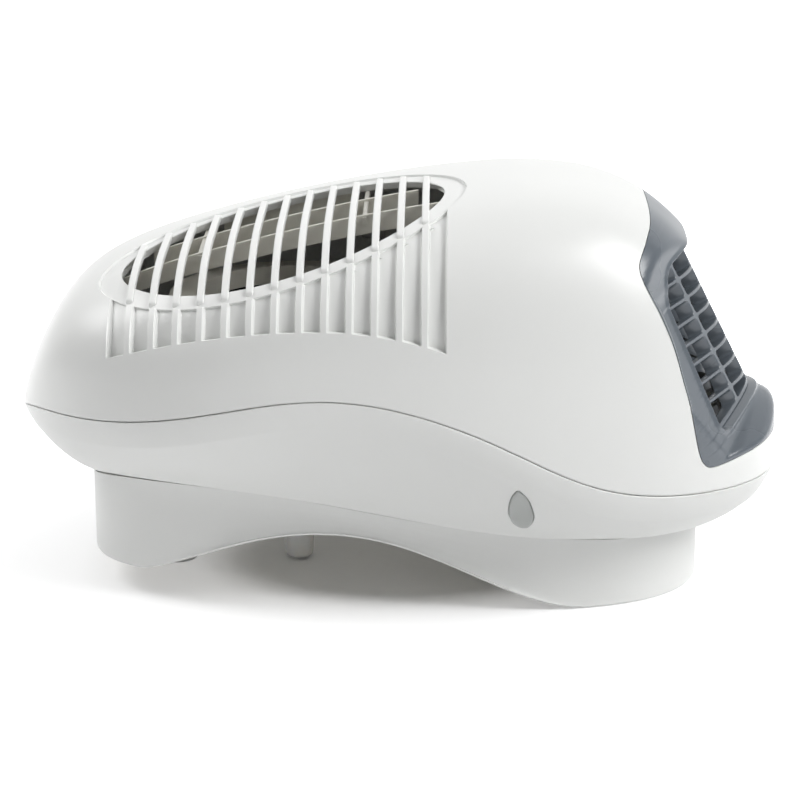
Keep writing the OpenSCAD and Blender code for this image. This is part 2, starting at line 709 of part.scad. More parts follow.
module motor_stator() color("peru") {
  translate([wheel_x, 0, can_z + motor_wall + 4]) difference() {
    cylinder(d = motor_d - 2 * motor_wall - 2 * shaft_fit, h = rotor_h);
    translate([0, 0, -1]) cylinder(d = motor_d * 0.55 + 2 * rotor_gap, h = through);
  }
}
module motor_bracket() color("silver") {
  translate([wheel_x, 0, bracket_z]) difference() {
    cylinder(d = motor_pcd + 12, h = bracket_t);
    translate([0, 0, -1]) cylinder(d = bush_d + 4, h = 9);
    for (i = [0:motor_screw_n - 1]) rotate([0, 0, 360 * i / motor_screw_n + 30])
      translate([motor_pcd / 2, 0, -1]) cylinder(d = motor_screw_d + 0.3, h = 10);
    for (i = [0:motor_screw_n - 1]) rotate([0, 0, 360 * i / motor_screw_n + 90])
      translate([motor_d / 2 + 3, 0, -1]) cylinder(d = 9, h = 10);
  }
}
module at_motor_screws() for (i = [0:motor_screw_n - 1])
  translate([wheel_x, 0, 0]) rotate([0, 0, 360 * i / motor_screw_n + 30]) translate([motor_pcd / 2, 0, 0])
    children();
module motor_grommets() color("black") {
  at_motor_screws() difference() {
    union() {
      translate([0, 0, bracket_z + bracket_t + 0.1]) cylinder(d = 11, h = housing_z - bracket_z - bracket_t - 0.2);
      translate([0, 0, housing_z - 0.2]) cylinder(d = grommet_neck_d, h = housing_wall + 0.3);
    }
    cylinder(d = motor_screw_d + 0.2, h = through);
  }
}
module motor_screws() color("silver") {
  at_motor_screws() {
    translate([0, 0, housing_z + housing_wall + 0.15]) cylinder(d = 8, h = 1.4);
    translate([0, 0, bracket_z - 2.4]) cylinder(d = motor_screw_d, h = housing_z + housing_wall - bracket_z + 3);
    difference() {
      translate([0, 0, bracket_z - 3]) cylinder(d = 7.5, h = 2.9, $fn = 6);
      translate([0, 0, bracket_z - 4]) cylinder(d = motor_screw_d - eps, h = 5);
    }
  }
}

// Duct from the blower mouth to the heating block
duct_t = 1.6;
heater_h = 66;
module duct_shape(inset, over) hull() {
  translate([wheel_x + mouth_x + 0.3 - over, -volute_in * 0.62 + inset, housing_z + inset])
    cube([0.5, volute_out + volute_in * 0.62 - 2 * inset, housing_h + housing_wall - 2 * inset]);
  at_face() translate([-heater_back - heater_t - 0.9 + over, -heater_half_w + inset, -heater_h / 2 + inset])
    cube([0.5, 2 * (heater_half_w - inset), heater_h - 2 * inset]);
}
module air_duct() color("silver") {
  difference() {
    duct_shape(0, 0);
    duct_shape(duct_t, 1);
  }
}

// Heating block: a ceramic frame, finned rows and ceramic rows between them
module heater_box(inset, t, out) at_face()
  translate([-heater_back - heater_t - out, -heater_half_w + inset, -heater_h / 2 + inset])
    cube([t, 2 * (heater_half_w - inset), heater_h - 2 * inset]);
module heater_frame() color("wheat") {
  difference() {
    heater_box(0, heater_t, 0);
    heater_box(heater_border, heater_t + 10, 5);
  }
  at_face() for (y = [-13, 13]) translate([-heater_back - 2, y - 1.2, -heater_h / 2]) cube([2, 2.4, heater_h]);
}
row_gap = 0.2;
block_h = heater_h - 2 * heater_border - 2 * row_gap;
block_w = 2 * (heater_half_w - heater_border) - 2 * row_gap;
fin_h = (block_h - ceramic_rows * ceramic_h) / (ceramic_rows + 1);
fin_n = 15;
module at_block() at_face() translate([-heater_back - heater_t + 1.5, -block_w / 2, -block_h / 2]) children();
module heater_fins() color("silver") {
  at_block() for (r = [0:ceramic_rows]) translate([0, 0, r * (fin_h + ceramic_h)]) difference() {
    cube([heater_t - 4, block_w, fin_h - 0.05]);
    for (i = [0:fin_n - 1]) translate([-1, 1 + i * (block_w - 1) / fin_n, 0.8])
      cube([heater_t, (block_w - 1) / fin_n - 1, fin_h - 1.6]);
  }
}
module heater_ceramics() color("tan") {
  at_block() for (r = [1:ceramic_rows]) translate([1, 2, r * (fin_h + ceramic_h) - ceramic_h])
    cube([heater_t - 6, block_w - 4, ceramic_h - 0.05]);
}
module heater_terminals() color("gold") {
  at_face() for (z = [-14, 0, 14])
    translate([-heater_back - heater_t + 4, heater_half_w + 0.05, z]) {
      cube([6, 7, 0.8]);
      translate([-1, 0, -2]) cube([8, 1, 5]);
    }
}
module thermal_cutout() color("silver") {
  at_face() translate([-heater_back - heater_t / 2, -1, heater_h / 2 + 0.1]) {
    cylinder(d = 16, h = 1);
    cylinder(d = 12, h = 7);
    translate([-1, -9, 5]) cube([2, 18, 0.8]);
  }
}
module thermal_fuse() color("silver") {
  at_face() translate([-heater_back - heater_t / 2, 25, heater_h / 2 + 2.2]) rotate([-90, 0, 0]) {
    cylinder(d = 4, h = 10);
    translate([0, 0, -4]) cylinder(d = 1, h = 18);
  }
}

// Straps that hang the heating block on four bosses inside the outlet frame
strap_y = 18;
strap_z = [-41, 43];
strap_w = 12;
strap_t = 1.2;
strap_back = 18;
frame_boss_d = 8;
module heater_straps() color("silver") at_face() for (y = [-strap_y, strap_y], z = strap_z)
  let (low = z > 0 ? heater_h / 2 + 0.1 : z - 4, high = z > 0 ? z + 4 : -heater_h / 2 - 0.1) difference() {
    union() {
      translate([-heater_back - heater_t + 2, y - strap_w / 2, z > 0 ? low : high - strap_t])
        cube([heater_back + heater_t - 2 - strap_back - 0.05, strap_w, strap_t]);
      translate([-strap_back - 0.05 - strap_t, y - strap_w / 2, low]) cube([strap_t, strap_w, high - low]);
    }
    translate([-strap_back - 5, y, z]) rotate([0, 90, 0]) cylinder(d = wiring_screw_d + 0.2, h = 9);
  }
module heater_screws() color("silver") at_face() for (y = [-strap_y, strap_y], z = strap_z)
  translate([-strap_back - strap_t - 0.1, y, z]) rotate([0, 90, 0]) {
    translate([0, 0, -2]) cylinder(d = 5.6, h = 2);
    cylinder(d = wiring_screw_d - 0.55, h = 5.5);
  }

// Outlet frame: the grey nose with its hood and lip, open for the grille
hood_x = 122.5;
hood_z = 139;
open_low = -33;
open_high = open_low + outlet_h;
open_round = 5;
module lip_wedge() rotate([90, 0, 0]) linear_extrude(160, center = true)
  polygon([[110, 50], [175, 50], [175, 69], [158, 77.5], [150, 81.5], [131, 82.5], [110, 82.5]]);
module hood_prism(inset) translate([hood_x, 0, hood_z + 30]) nose_prism(inset, 75, 60, 1 / cos(face_lean));
module nose_shape(inset, stations, steps) intersection() {
  dome(inset, 3, stations, steps);
  union() {
    at_face() nose_prism(inset, 72, 170);
    lip_wedge();
    hood_prism(inset);
  }
}
module outlet_outline(grow) hull() for (side = [-1, 1]) {
  translate([side * (outlet_half_w - 3 - open_round), open_high - open_round]) circle(r = open_round + grow, $fn = 24);
  translate([side * (outlet_half_w + 3 - open_round), open_low + open_round]) circle(r = open_round + grow, $fn = 24);
}
module outlet_cut(grow) at_face() rotate([90, 0, 90]) translate([0, 0, -60]) linear_extrude(90) outlet_outline(grow);
rim_r = 0.9;
rim_path = [for (side = [-1, 1], i = [0:8]) let (k = side < 0 ? i : 8 - i)
  [side * (outlet_half_w + 1 - 3 * (k / 4 - 1)), open_low + (open_high - open_low) * k / 8]];
module outlet_frame() color(grey) {
  difference() {
    intersection() {
      nose_shape(0, skin_n, skin_m);
      frame_zone(0);
    }
    intersection() {
      dome(wall, 3, 30, 20);
      union() {
        at_face() nose_prism(wall, 75, 175);
        difference() {
          hood_prism(wall);
          lip_wedge();
        }
      }
    }
    outlet_cut(0);
  }
  at_face() for (y = [-strap_y, strap_y], z = strap_z) difference() {
    translate([-strap_back, y, z]) rotate([0, 90, 0]) cylinder(d = frame_boss_d, h = strap_back - wall / 2 - face_back(y));
    translate([-strap_back - 1, y, z]) rotate([0, 90, 0]) cylinder(d = wiring_screw_d - 0.5, h = 6);
  }
  at_face() for (i = [0:len(rim_path) - 1]) let (p = rim_path[i], q = rim_path[(i + 1) % len(rim_path)])
    if (abs(q[1] - p[1]) > 1) hull() for (c = [p, q])
      translate([-face_back(c[0]), c[0], c[1]]) sphere(r = rim_r, $fn = 8);
}

// Outlet grille: level and upright bars on the same curved face, set back in the frame
module outlet_grille() color(grey) {
  col_w = 2 * outlet_half_w / cell_cols;
  row_h = (open_high - open_low) / cell_rows;
  difference() {
    intersection() {
      at_face() nose_prism(grille_set, 60, 100);
      outlet_cut(-seat_gap);
    }
    at_face() nose_prism(grille_set + grille_d, 62, 120);
    at_face() intersection() {
      for (c = [0:cell_cols - 1], r = [0:cell_rows - 1])
        translate([-60, -outlet_half_w + c * col_w + col_bar / 2, open_low + r * row_h + row_bar / 2])
          cube([90, col_w - col_bar, row_h - row_bar]);
      rotate([90, 0, 90]) translate([0, 0, -60]) linear_extrude(90) outlet_outline(-seat_gap - 1.6);
    }
  }
}

// Button: an egg-shaped cap with a hollow, its stem, guide and switch
button_t = 4;
button_proud = 0.4;
hollow_r = 28;
hollow_d = 1.2;
plate_t = 1.8;
plate_z = button_t - button_proud + button_travel + 1.9;
ring_h = 1.8;
ring_w = 2;
collar_h = 5;
switch_z = plate_z + 7.5;
switch_h = 14;
switch_w = 14.4;
switch_l = 12;
switch_play = 0.2;
stem_end = switch_z - button_travel - 1;
stem_play = 0.05;
plunger_d = 4;
plunger_l = 6;
module power_button() color("silver") {
  at_button() {
    difference() {
      translate([0, 0, -button_proud]) linear_extrude(button_t) egg_outline(0);
      translate([0, -1, hollow_d - hollow_r - button_proud]) sphere(r = hollow_r, $fn = 64);
    }
    translate([0, 0, button_t - button_proud - 1]) cylinder(d = stem_d, h = stem_end - button_t + button_proud + 1);
  }
}
module button_guide() color("gainsboro") {
  at_button() {
    difference() {
      union() {
        translate([-button_w / 2 - 4.5, -button_l / 2 - 3, plate_z])
          cube([button_w + 9, button_l + 6, plate_t]);
        translate([0, 0, plate_z]) cylinder(d = stem_d + 4, h = collar_h);
      }
      cylinder(d = stem_d + 2 * stem_play, h = plate_z + collar_h + 1);
    }
    difference() {
      translate([0, 0, plate_z - ring_h]) linear_extrude(ring_h + 0.2) egg_outline(button_gap + ring_w);
      translate([0, 0, plate_z - ring_h - 1]) linear_extrude(ring_h + 1) egg_outline(button_gap + 0.3);
      cylinder(d = stem_d + 2 * stem_play, h = plate_z + collar_h + 1);
    }
    for (side = [-1, 1]) translate([side * (switch_w / 2 + switch_play + 1) - 1, -5, plate_z + 1])
      cube([2, 10, switch_z - plate_z + 8.5]);
  }
}
module push_switch() color("dimgray") {
  at_button() difference() {
    translate([-switch_w / 2, -switch_l / 2, switch_z]) cube([switch_w, switch_l, switch_h]);
    cylinder(d = plunger_d + 2 * stem_play, h = stem_end + plunger_l + button_travel + 1);
  }
}
module switch_plunger() color("white") {
  at_button() translate([0, 0, stem_end + 0.05]) cylinder(d = plunger_d, h = plunger_l);
}

// Terminal block, cable clamp and their screws
block_h_z = 10;
wire_pitch = 6;
wire_z = 3;
module terminal_block() color("white") {
  translate([block_x, block_y, shelf_z + 0.1]) difference() {
    union() {
      translate([-block_l / 2, -7, 0]) cube([block_l, 14, block_h_z]);
      translate([-block_l / 2 - ear_l, -7, 0]) cube([block_l + 2 * ear_l, 14, 3]);
    }
    for (i = [-1:1]) translate([wire_pitch * i, 0, wire_z]) cylinder(d = 3.6, h = 10);
    for (i = [-1:1]) translate([wire_pitch * i, -8, wire_z]) rotate([-90, 0, 0]) cylinder(d = 2.8, h = 20);
    for (side = [-1, 1]) translate([side * 13, 0, -1]) cylinder(d = wiring_screw_d + 0.3, h = 9);
  }
}
module terminal_screws() color("gold") {
  for (i = [-1:1]) translate([block_x + wire_pitch * i, block_y, shelf_z + wire_z + 1.6])
    difference() {
      cylinder(d = 3.56, h = 4);
      translate([-2, -0.3, 3]) cube([4, 0.6, 2]);
    }
}
module cable_clamp() color("white") {
  translate([clamp_at[0], clamp_at[1], shelf_z + 0.1]) rotate([0, 0, clamp_turn]) difference() {
    translate([-clamp_l / 2, -3.5, 0]) cube([clamp_l, 7, 8]);
    rotate([90, 0, 0]) cylinder(d = gland_bore, h = 20, center = true);
    for (side = [-1, 1]) translate([side * 9.5, 0, -1]) cylinder(d = wiring_screw_d + 0.3, h = 12);
  }
}
module wiring_screws() color("silver") {
  for (p = wiring_screws_at) translate([p[0], p[1], shelf_z + 0.15 + p[2]]) {
    cylinder(d = 5.6, h = 2);
    translate([0, 0, -5 - p[2]]) cylinder(d = wiring_screw_d - 0.15, h = 5 + p[2] + 0.5);
  }
}

top_cover();
intake_guard();
lower_shell();
wall_base();
back_panel();
outlet_frame();
outlet_grille();
power_button();
button_guide();
push_switch();
switch_plunger();
support_post();
post_pad();
cable_gland();
gland_nut();
pillars();
base_screws();
cover_screws();
terminal_block();
terminal_screws();
cable_clamp();
wiring_screws();
blower_bowl();
blower_cover();
blower_screws();
fan_wheel();
wheel_hub();
motor_shaft();
motor_rotor();
motor_stator();
motor_can();
motor_cap();
upper_bush();
lower_bush();
motor_bracket();
motor_grommets();
motor_screws();
air_duct();
heater_frame();
heater_fins();
heater_ceramics();
heater_terminals();
heater_straps();
heater_screws();
thermal_cutout();
thermal_fuse();
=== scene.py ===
import json
import math
import bmesh
import bpy
import numpy as np
from mathutils import Matrix, Vector


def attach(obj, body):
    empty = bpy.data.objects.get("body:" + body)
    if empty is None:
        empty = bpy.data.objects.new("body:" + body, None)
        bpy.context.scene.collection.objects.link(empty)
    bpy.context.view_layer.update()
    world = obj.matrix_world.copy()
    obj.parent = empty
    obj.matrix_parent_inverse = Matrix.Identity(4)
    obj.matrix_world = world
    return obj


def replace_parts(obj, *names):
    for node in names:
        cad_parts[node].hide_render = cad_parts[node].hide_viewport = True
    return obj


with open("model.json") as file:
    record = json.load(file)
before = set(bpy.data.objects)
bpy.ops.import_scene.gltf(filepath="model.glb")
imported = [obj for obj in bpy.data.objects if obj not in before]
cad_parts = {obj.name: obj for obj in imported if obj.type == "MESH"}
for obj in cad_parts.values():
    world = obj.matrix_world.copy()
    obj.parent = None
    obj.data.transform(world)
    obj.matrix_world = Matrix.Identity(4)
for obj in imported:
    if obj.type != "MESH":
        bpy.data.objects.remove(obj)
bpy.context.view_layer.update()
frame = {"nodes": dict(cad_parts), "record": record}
scene = bpy.context.scene
mm = 0.001

# The body's shape, in millimetres, as in the part's source
body = {
    "halfLength": 160.0, "halfWidth": 86.0, "widestX": -35.0, "leftPower": 2.35, "rightPower": 2.5,
    "top": 173.3, "peakX": 50.0, "noseHeight": 73.0, "nosePower": 2.85, "noseFill": 0.95,
    "crestFall": 16.8, "crestPower": 1.4, "endWidth": 13.5, "endHeight": 0.5,
    "jointHigh": 83.1, "jointLow": 50.9, "stepX": 59.8, "stepWidth": 19.0,
    "wave": 16.1, "waveX": -27.9, "waveWidth": 64.3, "endDrop": 9.0, "endDropWidth": 6.0,
    "roundPower": 2 / 3, "wall": 3.2, "gap": 0.3,
}
base = {
    "middle": 20.0, "left": 131.0, "right": 128.0, "halfWidth": 62.0,
    "leftPower": 3.3, "rightPower": 2.7, "edgeLow": 28.0, "edgeRise": 27.0, "edgeWidth": 35.0,
    "edgeX": -4.0, "edgeDip": 7.0, "dipWidth": 10.0, "rimHeight": 12.7, "rimEnd": -108.0, "rimRound": 1.1,
    "archX": -32.0, "archHeight": 33.2, "archEnd": 80.0, "archLeft": 1.2, "archRight": 1.15,
    "waist": 4.0, "waistFull": 24.0, "wall": 2.8,
}
intake = {
    "middle": -48.0, "across": -23.5, "skew": 0.06, "halfLength": 66.5, "halfWidth": 45.0,
    "border": 4.5, "sink": 1.1, "pitch": 9.92, "ribWidth": 3.0, "ribDepth": 3.0,
    "pockets": 14, "pocketReach": 61.5, "pocketDepth": 2.5, "farPocket": 60.0, "edgeRound": 0.35,
    "footHeight": 127.0, "footX": -28.0, "footLeft": 0.002, "footRight": 0.0037,
    "ribRound": 0.7, "ribEndGap": 0.9, "ribEndRound": 1.6, "ribEndDrop": 1.5, "ribLift": 0.6,
    "bladePitch": 25.0, "bladeWidth": 1.8, "bladeHeight": 8.0, "bladeGap": 0.5, "bladeRound": 0.4,
    "tieX": 34.0, "tieWidth": 2.0, "tieHeight": 3.0, "tieDrop": 1.4, "tieOver": 1.5,
}
intake["pocketWidth"] = intake["pitch"] - intake["ribWidth"]
intake["firstPocket"] = intake["middle"] - intake["pocketReach"] - intake["pocketWidth"]
edgeSteps = (-1.1, -0.6, -0.2, 0.2, 0.6, 1.1)  # lines drawn across an edge, in times its rounding


def smooth(t):
    t = np.clip(t, 0, 1)
    return t * t * (3 - 2 * t)


def oval(x, mid, left, right, width, leftPower, rightPower):
    x = np.asarray(x, float)
    u = np.where(x < mid, (mid - x) / left, (x - mid) / right)
    n = np.where(x < mid, leftPower, rightPower)
    return width * np.maximum(0, 1 - np.minimum(1, np.abs(u)) ** n) ** (1 / n)


def halfWidth(x):
    b = body
    return oval(x, b["widestX"], b["halfLength"] + b["widestX"], b["halfLength"] - b["widestX"],
                b["halfWidth"], b["leftPower"], b["rightPower"])


def jointHeight(x):
    b = body
    x = np.asarray(x, float)
    return (b["jointLow"] + (b["jointHigh"] - b["jointLow"]) / (1 + np.exp((x - b["stepX"]) / b["stepWidth"]))
            + b["wave"] * np.exp(-((x - b["waveX"]) / b["waveWidth"]) ** 2)
            - b["endDrop"] * np.exp(-(x + b["halfLength"]) / b["endDropWidth"]))


def topHeight(x):
    b = body
    x = np.asarray(x, float)
    fall = lambda d: b["crestFall"] * (np.maximum(0, d) / 100) ** b["crestPower"]
    endTop = b["top"] - fall(b["peakX"] + b["halfLength"])
    endFall = endTop - float(jointHeight(-b["halfLength"])) - b["endHeight"]
    left = b["top"] - fall(b["peakX"] - x) - endFall * np.exp(-(x + b["halfLength"]) / b["endWidth"])
    u = np.maximum(0, x - b["peakX"]) / (b["halfLength"] - b["peakX"])
    share = np.maximum(0, 1 - u ** b["nosePower"]) ** b["noseFill"]
    right = b["noseHeight"] + (b["top"] - b["noseHeight"]) * share
    return np.where(x < b["peakX"], left, right)


def skinHeight(x, y, inset=0.0):
    b = body
    end, p = b["halfLength"], b["roundPower"]
    s = np.clip(np.asarray(x, float) * end / (end - inset), -end, end)
    low = jointHeight(s)
    u = np.minimum(1, np.abs(y) / np.maximum(halfWidth(s) - inset, 1))
    return low + (topHeight(s) - inset - low) * np.maximum(0, 1 - u ** (2 / p)) ** (p / 2)


def skinPoint(x, v):
    # v in degrees, 0 at the joint on the near side, 90 at the top, 180 at the joint on the far side
    r = np.radians(v)
    w = np.maximum(halfWidth(x), 0.03)  # the two ends stay open by a hair
    low = jointHeight(x)
    high = np.maximum(topHeight(x), low + body["endHeight"])
    p = body["roundPower"]
    y = -w * np.sign(np.cos(r)) * np.abs(np.cos(r)) ** p
    z = low + (high - low) * np.maximum(0, np.sin(r)) ** p
    return np.stack([np.broadcast_to(x, y.shape), y, z], -1)


def hexColour(code):
    v = [int(code[i:i + 2], 16) / 255 for i in (1, 3, 5)]
    return [c / 12.92 if c <= 0.04045 else ((c + 0.055) / 1.055) ** 2.4 for c in v] + [1.0]


def setInputs(tree, n, inputs):
    for k, v in inputs.items():
        if isinstance(v, tuple) and hasattr(v[0], "outputs"):
            tree.links.new(v[0].outputs[v[1]], n.inputs[k])
        else:
            n.inputs[k].default_value = v


def addNode(tree, kind, settings=None, inputs=None):
    n = tree.nodes.new("ShaderNode" + kind)
    for k, v in (settings or {}).items():
        setattr(n, k, v)
    setInputs(tree, n, inputs or {})
    return n


def addObject(name, data):
    o = bpy.data.objects.new(name, data)
    scene.collection.objects.link(o)
    return o


def unit(v):
    return v / np.linalg.norm(v, axis=-1, keepdims=True)


def bend(a, b, c, t):
    # from a to c, drawn toward b
    return a * (1 - t) ** 2 + b * 2 * t * (1 - t) + c * t * t


def makeObject(name, points, faces, material, rideOn="casing"):
    used = sorted({i for f in faces for i in f})
    place = {k: i for i, k in enumerate(used)}
    points = np.asarray(points, float)[used]
    mesh = bpy.data.meshes.new(name)
    mesh.from_pydata((points * mm).tolist(), [], [tuple(place[i] for i in f) for f in faces])
    mesh.validate()
    o = addObject(name, mesh)
    if material:
        mesh.materials.append(material)
    finishMesh(o)
    if rideOn:
        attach(o, rideOn)
    return o


def finishMesh(o, sharp=35):
    # smooth, but for the edges that turn by more than sharp degrees
    b = bmesh.new()
    b.from_mesh(o.data)
    bmesh.ops.remove_doubles(b, verts=b.verts, dist=1e-7)
    bmesh.ops.dissolve_degenerate(b, edges=b.edges, dist=1e-7)
    bmesh.ops.recalc_face_normals(b, faces=b.faces)
    for f in b.faces:
        f.smooth = True
    for e in b.edges:
        e.smooth = not (len(e.link_faces) == 2 and e.calc_face_angle(0) > math.radians(sharp))
    b.to_mesh(o.data)
    b.free()


def modify(o, kind, settings):
    m = o.modifiers.new(kind, kind)
    for k, v in settings.items():
        setattr(m, k, v)
    mesh = bpy.data.meshes.new_from_object(o.evaluated_get(bpy.context.evaluated_depsgraph_get()))
    o.modifiers.clear()
    o.data = mesh


def cut(o, tool, operation="DIFFERENCE"):
    modify(o, "BOOLEAN", {"operation": operation, "object": tool, "solver": "MANIFOLD"})
    bpy.data.objects.remove(tool, do_unlink=True)
    if not len(o.data.vertices):
        raise RuntimeError(o.name + " came out empty")


def gridFaces(rows, columns, closed=False):
    out = []
    for i in range(rows - 1):
        for j in range(columns if closed else columns - 1):
            k = (j + 1) % columns
            out.append((i * columns + j, i * columns + k, (i + 1) * columns + k, (i + 1) * columns + j))
    return out


def lidFaces(rows, columns):
    # rings joined in a row, with a lid on both ends
    last = (rows - 1) * columns
    return gridFaces(rows, columns, True) + [tuple(range(columns))[::-1], tuple(range(last, last + columns))]


def loopFaces(rows, columns):
    # rings joined in a row, and the last one to the first
    last = (rows - 1) * columns
    return gridFaces(rows, columns, True) + [(last + j, last + (j + 1) % columns, (j + 1) % columns, j)
                                             for j in range(columns)]


def gather(pts, faces, solid):
    # adds one solid to a piece made of several
    faces.extend(tuple(a + len(pts) for a in f) for f in solid[1])
    pts.extend(tuple(p) for p in solid[0])


sideways = Matrix(((1, 0, 0, 0), (0, 0, -1, 0), (0, 1, 0, 0), (0, 0, 0, 1)))


def prism(name, outline, reach):
    # a side outline of (x, z), pulled out to both sides
    n = len(outline)
    pts = [tuple(sideways @ Vector((p[0], p[1], at))) for at in (-reach, reach) for p in outline]
    faces = [tuple(range(n))[::-1], tuple(range(n, 2 * n))] + gridFaces(2, n, True)
    return makeObject(name, pts, faces, None, None)


def smoothCurve(points, steps, closed=False):
    # Catmull-Rom through the points
    p = [np.array(q, float) for q in points]
    p = p[-1:] + p + p[:2] if closed else p[:1] + p + p[-1:]
    out = []
    for a, b, c, d in zip(p, p[1:], p[2:], p[3:]):
        for t in (k / steps for k in range(steps)):
            out.append(0.5 * (2 * b + (c - a) * t + (2 * a - 5 * b + 4 * c - d) * t * t
                              + (3 * b - a - 3 * c + d) * t ** 3))
    return out if closed else out + [p[-1]]


# Materials

def mapped(tree, stretch=(1, 1, 1)):
    # object coordinates in millimetres, so that a pattern's scale is a real size
    c = addNode(tree, "TexCoord")
    return addNode(tree, "Mapping", None,
                   {"Vector": (c, "Object"), "Scale": tuple(1000 * s for s in stretch)})


def newMaterial(name):
    m = bpy.data.materials.new(name)
    m.use_nodes = True
    return m, m.node_tree, m.node_tree.nodes["Principled BSDF"]


def setLook(t, shader, tones, tonePattern, roughness, spread, glossPattern, strength, depth, reliefPattern):
    # the patterns turned into colour, roughness and relief
    first, other = tones
    tone = addNode(t, "Mix", {"data_type": "RGBA"}, {"Factor": (tonePattern, 0), "A": first, "B": other})
    gloss = addNode(t, "MapRange", None,
                    {"Value": (glossPattern, 0), "From Min": 0.3, "From Max": 0.7,
                     "To Min": roughness - spread, "To Max": roughness + spread})
    bump = addNode(t, "Bump", None,
                   {"Strength": strength, "Distance": depth * mm, "Height": (reliefPattern, 0)})
    setInputs(t, shader, {"Base Color": (tone, 2), "Roughness": (gloss, 0), "Normal": (bump, 0)})


def mouldedPlastic(name, colour, tint, roughness, grain, depth, ior=1.53, coat=0.0, subsurface=0.0):
    # an even spark-eroded grain, slow waves of gloss and tone from the melt's flow; the grain, in mm,
    # is drawn some four times too coarse, as the real one would be lost between pixels
    m, t, shader = newMaterial(name)
    place = mapped(t)
    flow = addNode(t, "TexNoise", None,
                   {"Vector": (place, 0), "Scale": 1 / 60, "Detail": 3.0, "Roughness": 0.45})
    fine = addNode(t, "TexNoise", None, {"Vector": (place, 0), "Scale": 1 / grain, "Detail": 2.0})
    setLook(t, shader, (hexColour(colour), hexColour(tint)), flow, roughness, 0.03, flow, 0.35, depth, fine)
    setInputs(t, shader, {"IOR": ior, "Coat Weight": coat})
    if subsurface:
        setInputs(t, shader, {"Subsurface Weight": subsurface, "Subsurface Scale": 1.0,
                              "Subsurface Radius": (0.002, 0.0018, 0.0015)})
    return m


def platedMetal(name, colour, roughness, streak, depth):
    # drawn or rolled metal: fine streaks along one way, uneven plating
    m, t, shader = newMaterial(name)
    lines = addNode(t, "TexNoise", None,
                    {"Vector": (mapped(t, streak), 0), "Scale": 2.0, "Detail": 4.0})
    cloud = addNode(t, "TexNoise", None, {"Vector": (mapped(t), 0), "Scale": 1 / 9, "Detail": 2.0})
    bright = hexColour(colour)
    dull = [c * 0.8 for c in bright[:3]] + [1]
    setLook(t, shader, (bright, dull), cloud, roughness, 0.08, lines, 0.3, depth, lines)
    setInputs(t, shader, {"Metallic": 1.0})
    return m


# a trace of warmth, and a gloss that spreads the lights over the back
whiteAbs = mouldedPlastic("moulded satin ABS white", "#EDEEEC", "#E9EAE8", 0.36, 0.6, 0.02)
# smoother, so that the hood carries a clearer streak of light
greyAbs = mouldedPlastic("moulded satin ABS blue-grey", "#656C73", "#60676E", 0.28, 0.7, 0.03)
# lighter than the nose, soft in its hollow
buttonAbs = mouldedPlastic("moulded satin ABS light grey", "#B9BCBA", "#B3B6B4", 0.38, 0.6, 0.02)
# a little yellow, and light goes in under the skin
creamNylon = mouldedPlastic("moulded nylon natural", "#E9E7DE", "#E2DFD4", 0.42, 0.8, 0.03, subsurface=0.1)
# thin and half clear: it glows in its own shadow
clearNylon = mouldedPlastic("moulded nylon white, let light through", "#FBFBF8", "#F6F6F2", 0.22, 0.8, 0.02,
                            coat=0.4, subsurface=0.5)
# off pure black, so that its form shows through the ribs
blackNylon = mouldedPlastic("moulded nylon black", "#1B1B1C", "#232324", 0.45, 0.8, 0.04)
# rolled sheet is streaked along its length; for the duct it is drawn dark and dull
darkDuctSheet = platedMetal("rolled sheet drawn dark", "#33343A", 0.5, (0.4, 4, 4), 0.02)

nodeFinish = {
    "white_case": whiteAbs, "grey_case": greyAbs, "button_grey": buttonAbs, "inner_white": creamNylon,
    "switch_black": blackNylon, "wheel_black": blackNylon,
    "rubber_black": mouldedPlastic("moulded rubber black", "#202021", "#2A2A2B", 0.7, 0.9, 0.06, 1.52),
    # dull and rough from glass fibre and from firing
    "heater_resin": mouldedPlastic("moulded glass-filled resin beige", "#BFAF94", "#B0A084", 0.6, 1.2, 0.08),
    "heater_ceramic": mouldedPlastic("fired ceramic unglazed", "#CDBFA4", "#BEAE90", 0.75, 0.9, 0.08, 1.6),
    # streaked along a sheet, and round about a turned or ground piece
    "sheet_steel": platedMetal("rolled zinc-plated sheet", "#B9BBBE", 0.38, (0.4, 4, 4), 0.02),
    "aluminium_fin": platedMetal("rolled aluminium", "#CBCDD0", 0.32, (0.5, 3, 3), 0.02),
    "screw_steel": platedMetal("turned zinc-plated steel", "#C3C4C6", 0.3, (3, 3, 0.4), 0.02),
    "shaft_steel": platedMetal("ground steel", "#C9CACC", 0.2, (4, 4, 0.3), 0.01),
    # lines one above the other, from the stack and the winding
    "laminated_steel": platedMetal("stacked electrical sheet", "#6A6B6E", 0.45, (0.2, 0.2, 3), 0.05),
    "copper_wound": platedMetal("enamelled copper winding", "#B06A3C", 0.35, (0.3, 0.3, 3), 0.08),
    # no streaks: stamped brass bright, sintered bronze dull from its pores
    "brass_part": platedMetal("stamped brass", "#C9A35A", 0.32, (2, 2, 2), 0.02),
    "bush_bronze": platedMetal("sintered bronze", "#9A7442", 0.5, (3, 3, 3), 0.05),
}
for part in frame["record"]["subparts"]:
    node = frame["nodes"][part["node"]]
    node.data.materials.clear()
    # the air duct alone is drawn in the dark, dull sheet
    finish = darkDuctSheet if part["node"] == "air_duct" else nodeFinish[part["material_slot"]]
    node.data.materials.append(finish)
print("materials ready")


# The cover: skin with the sunk border and the side pockets, open over the intake

def intakeSpan(x, grow, least=0.0):
    # middle and half width of the opening at x
    i = intake
    reach = i["halfLength"] + grow * 2
    d = np.clip(np.asarray(x, float) - i["middle"], -reach, reach)
    half = (i["halfWidth"] + grow) * np.sqrt(np.maximum(0, 1 - (d / reach) ** 2))
    return i["across"] + i["skew"] * d, np.maximum(half, least)


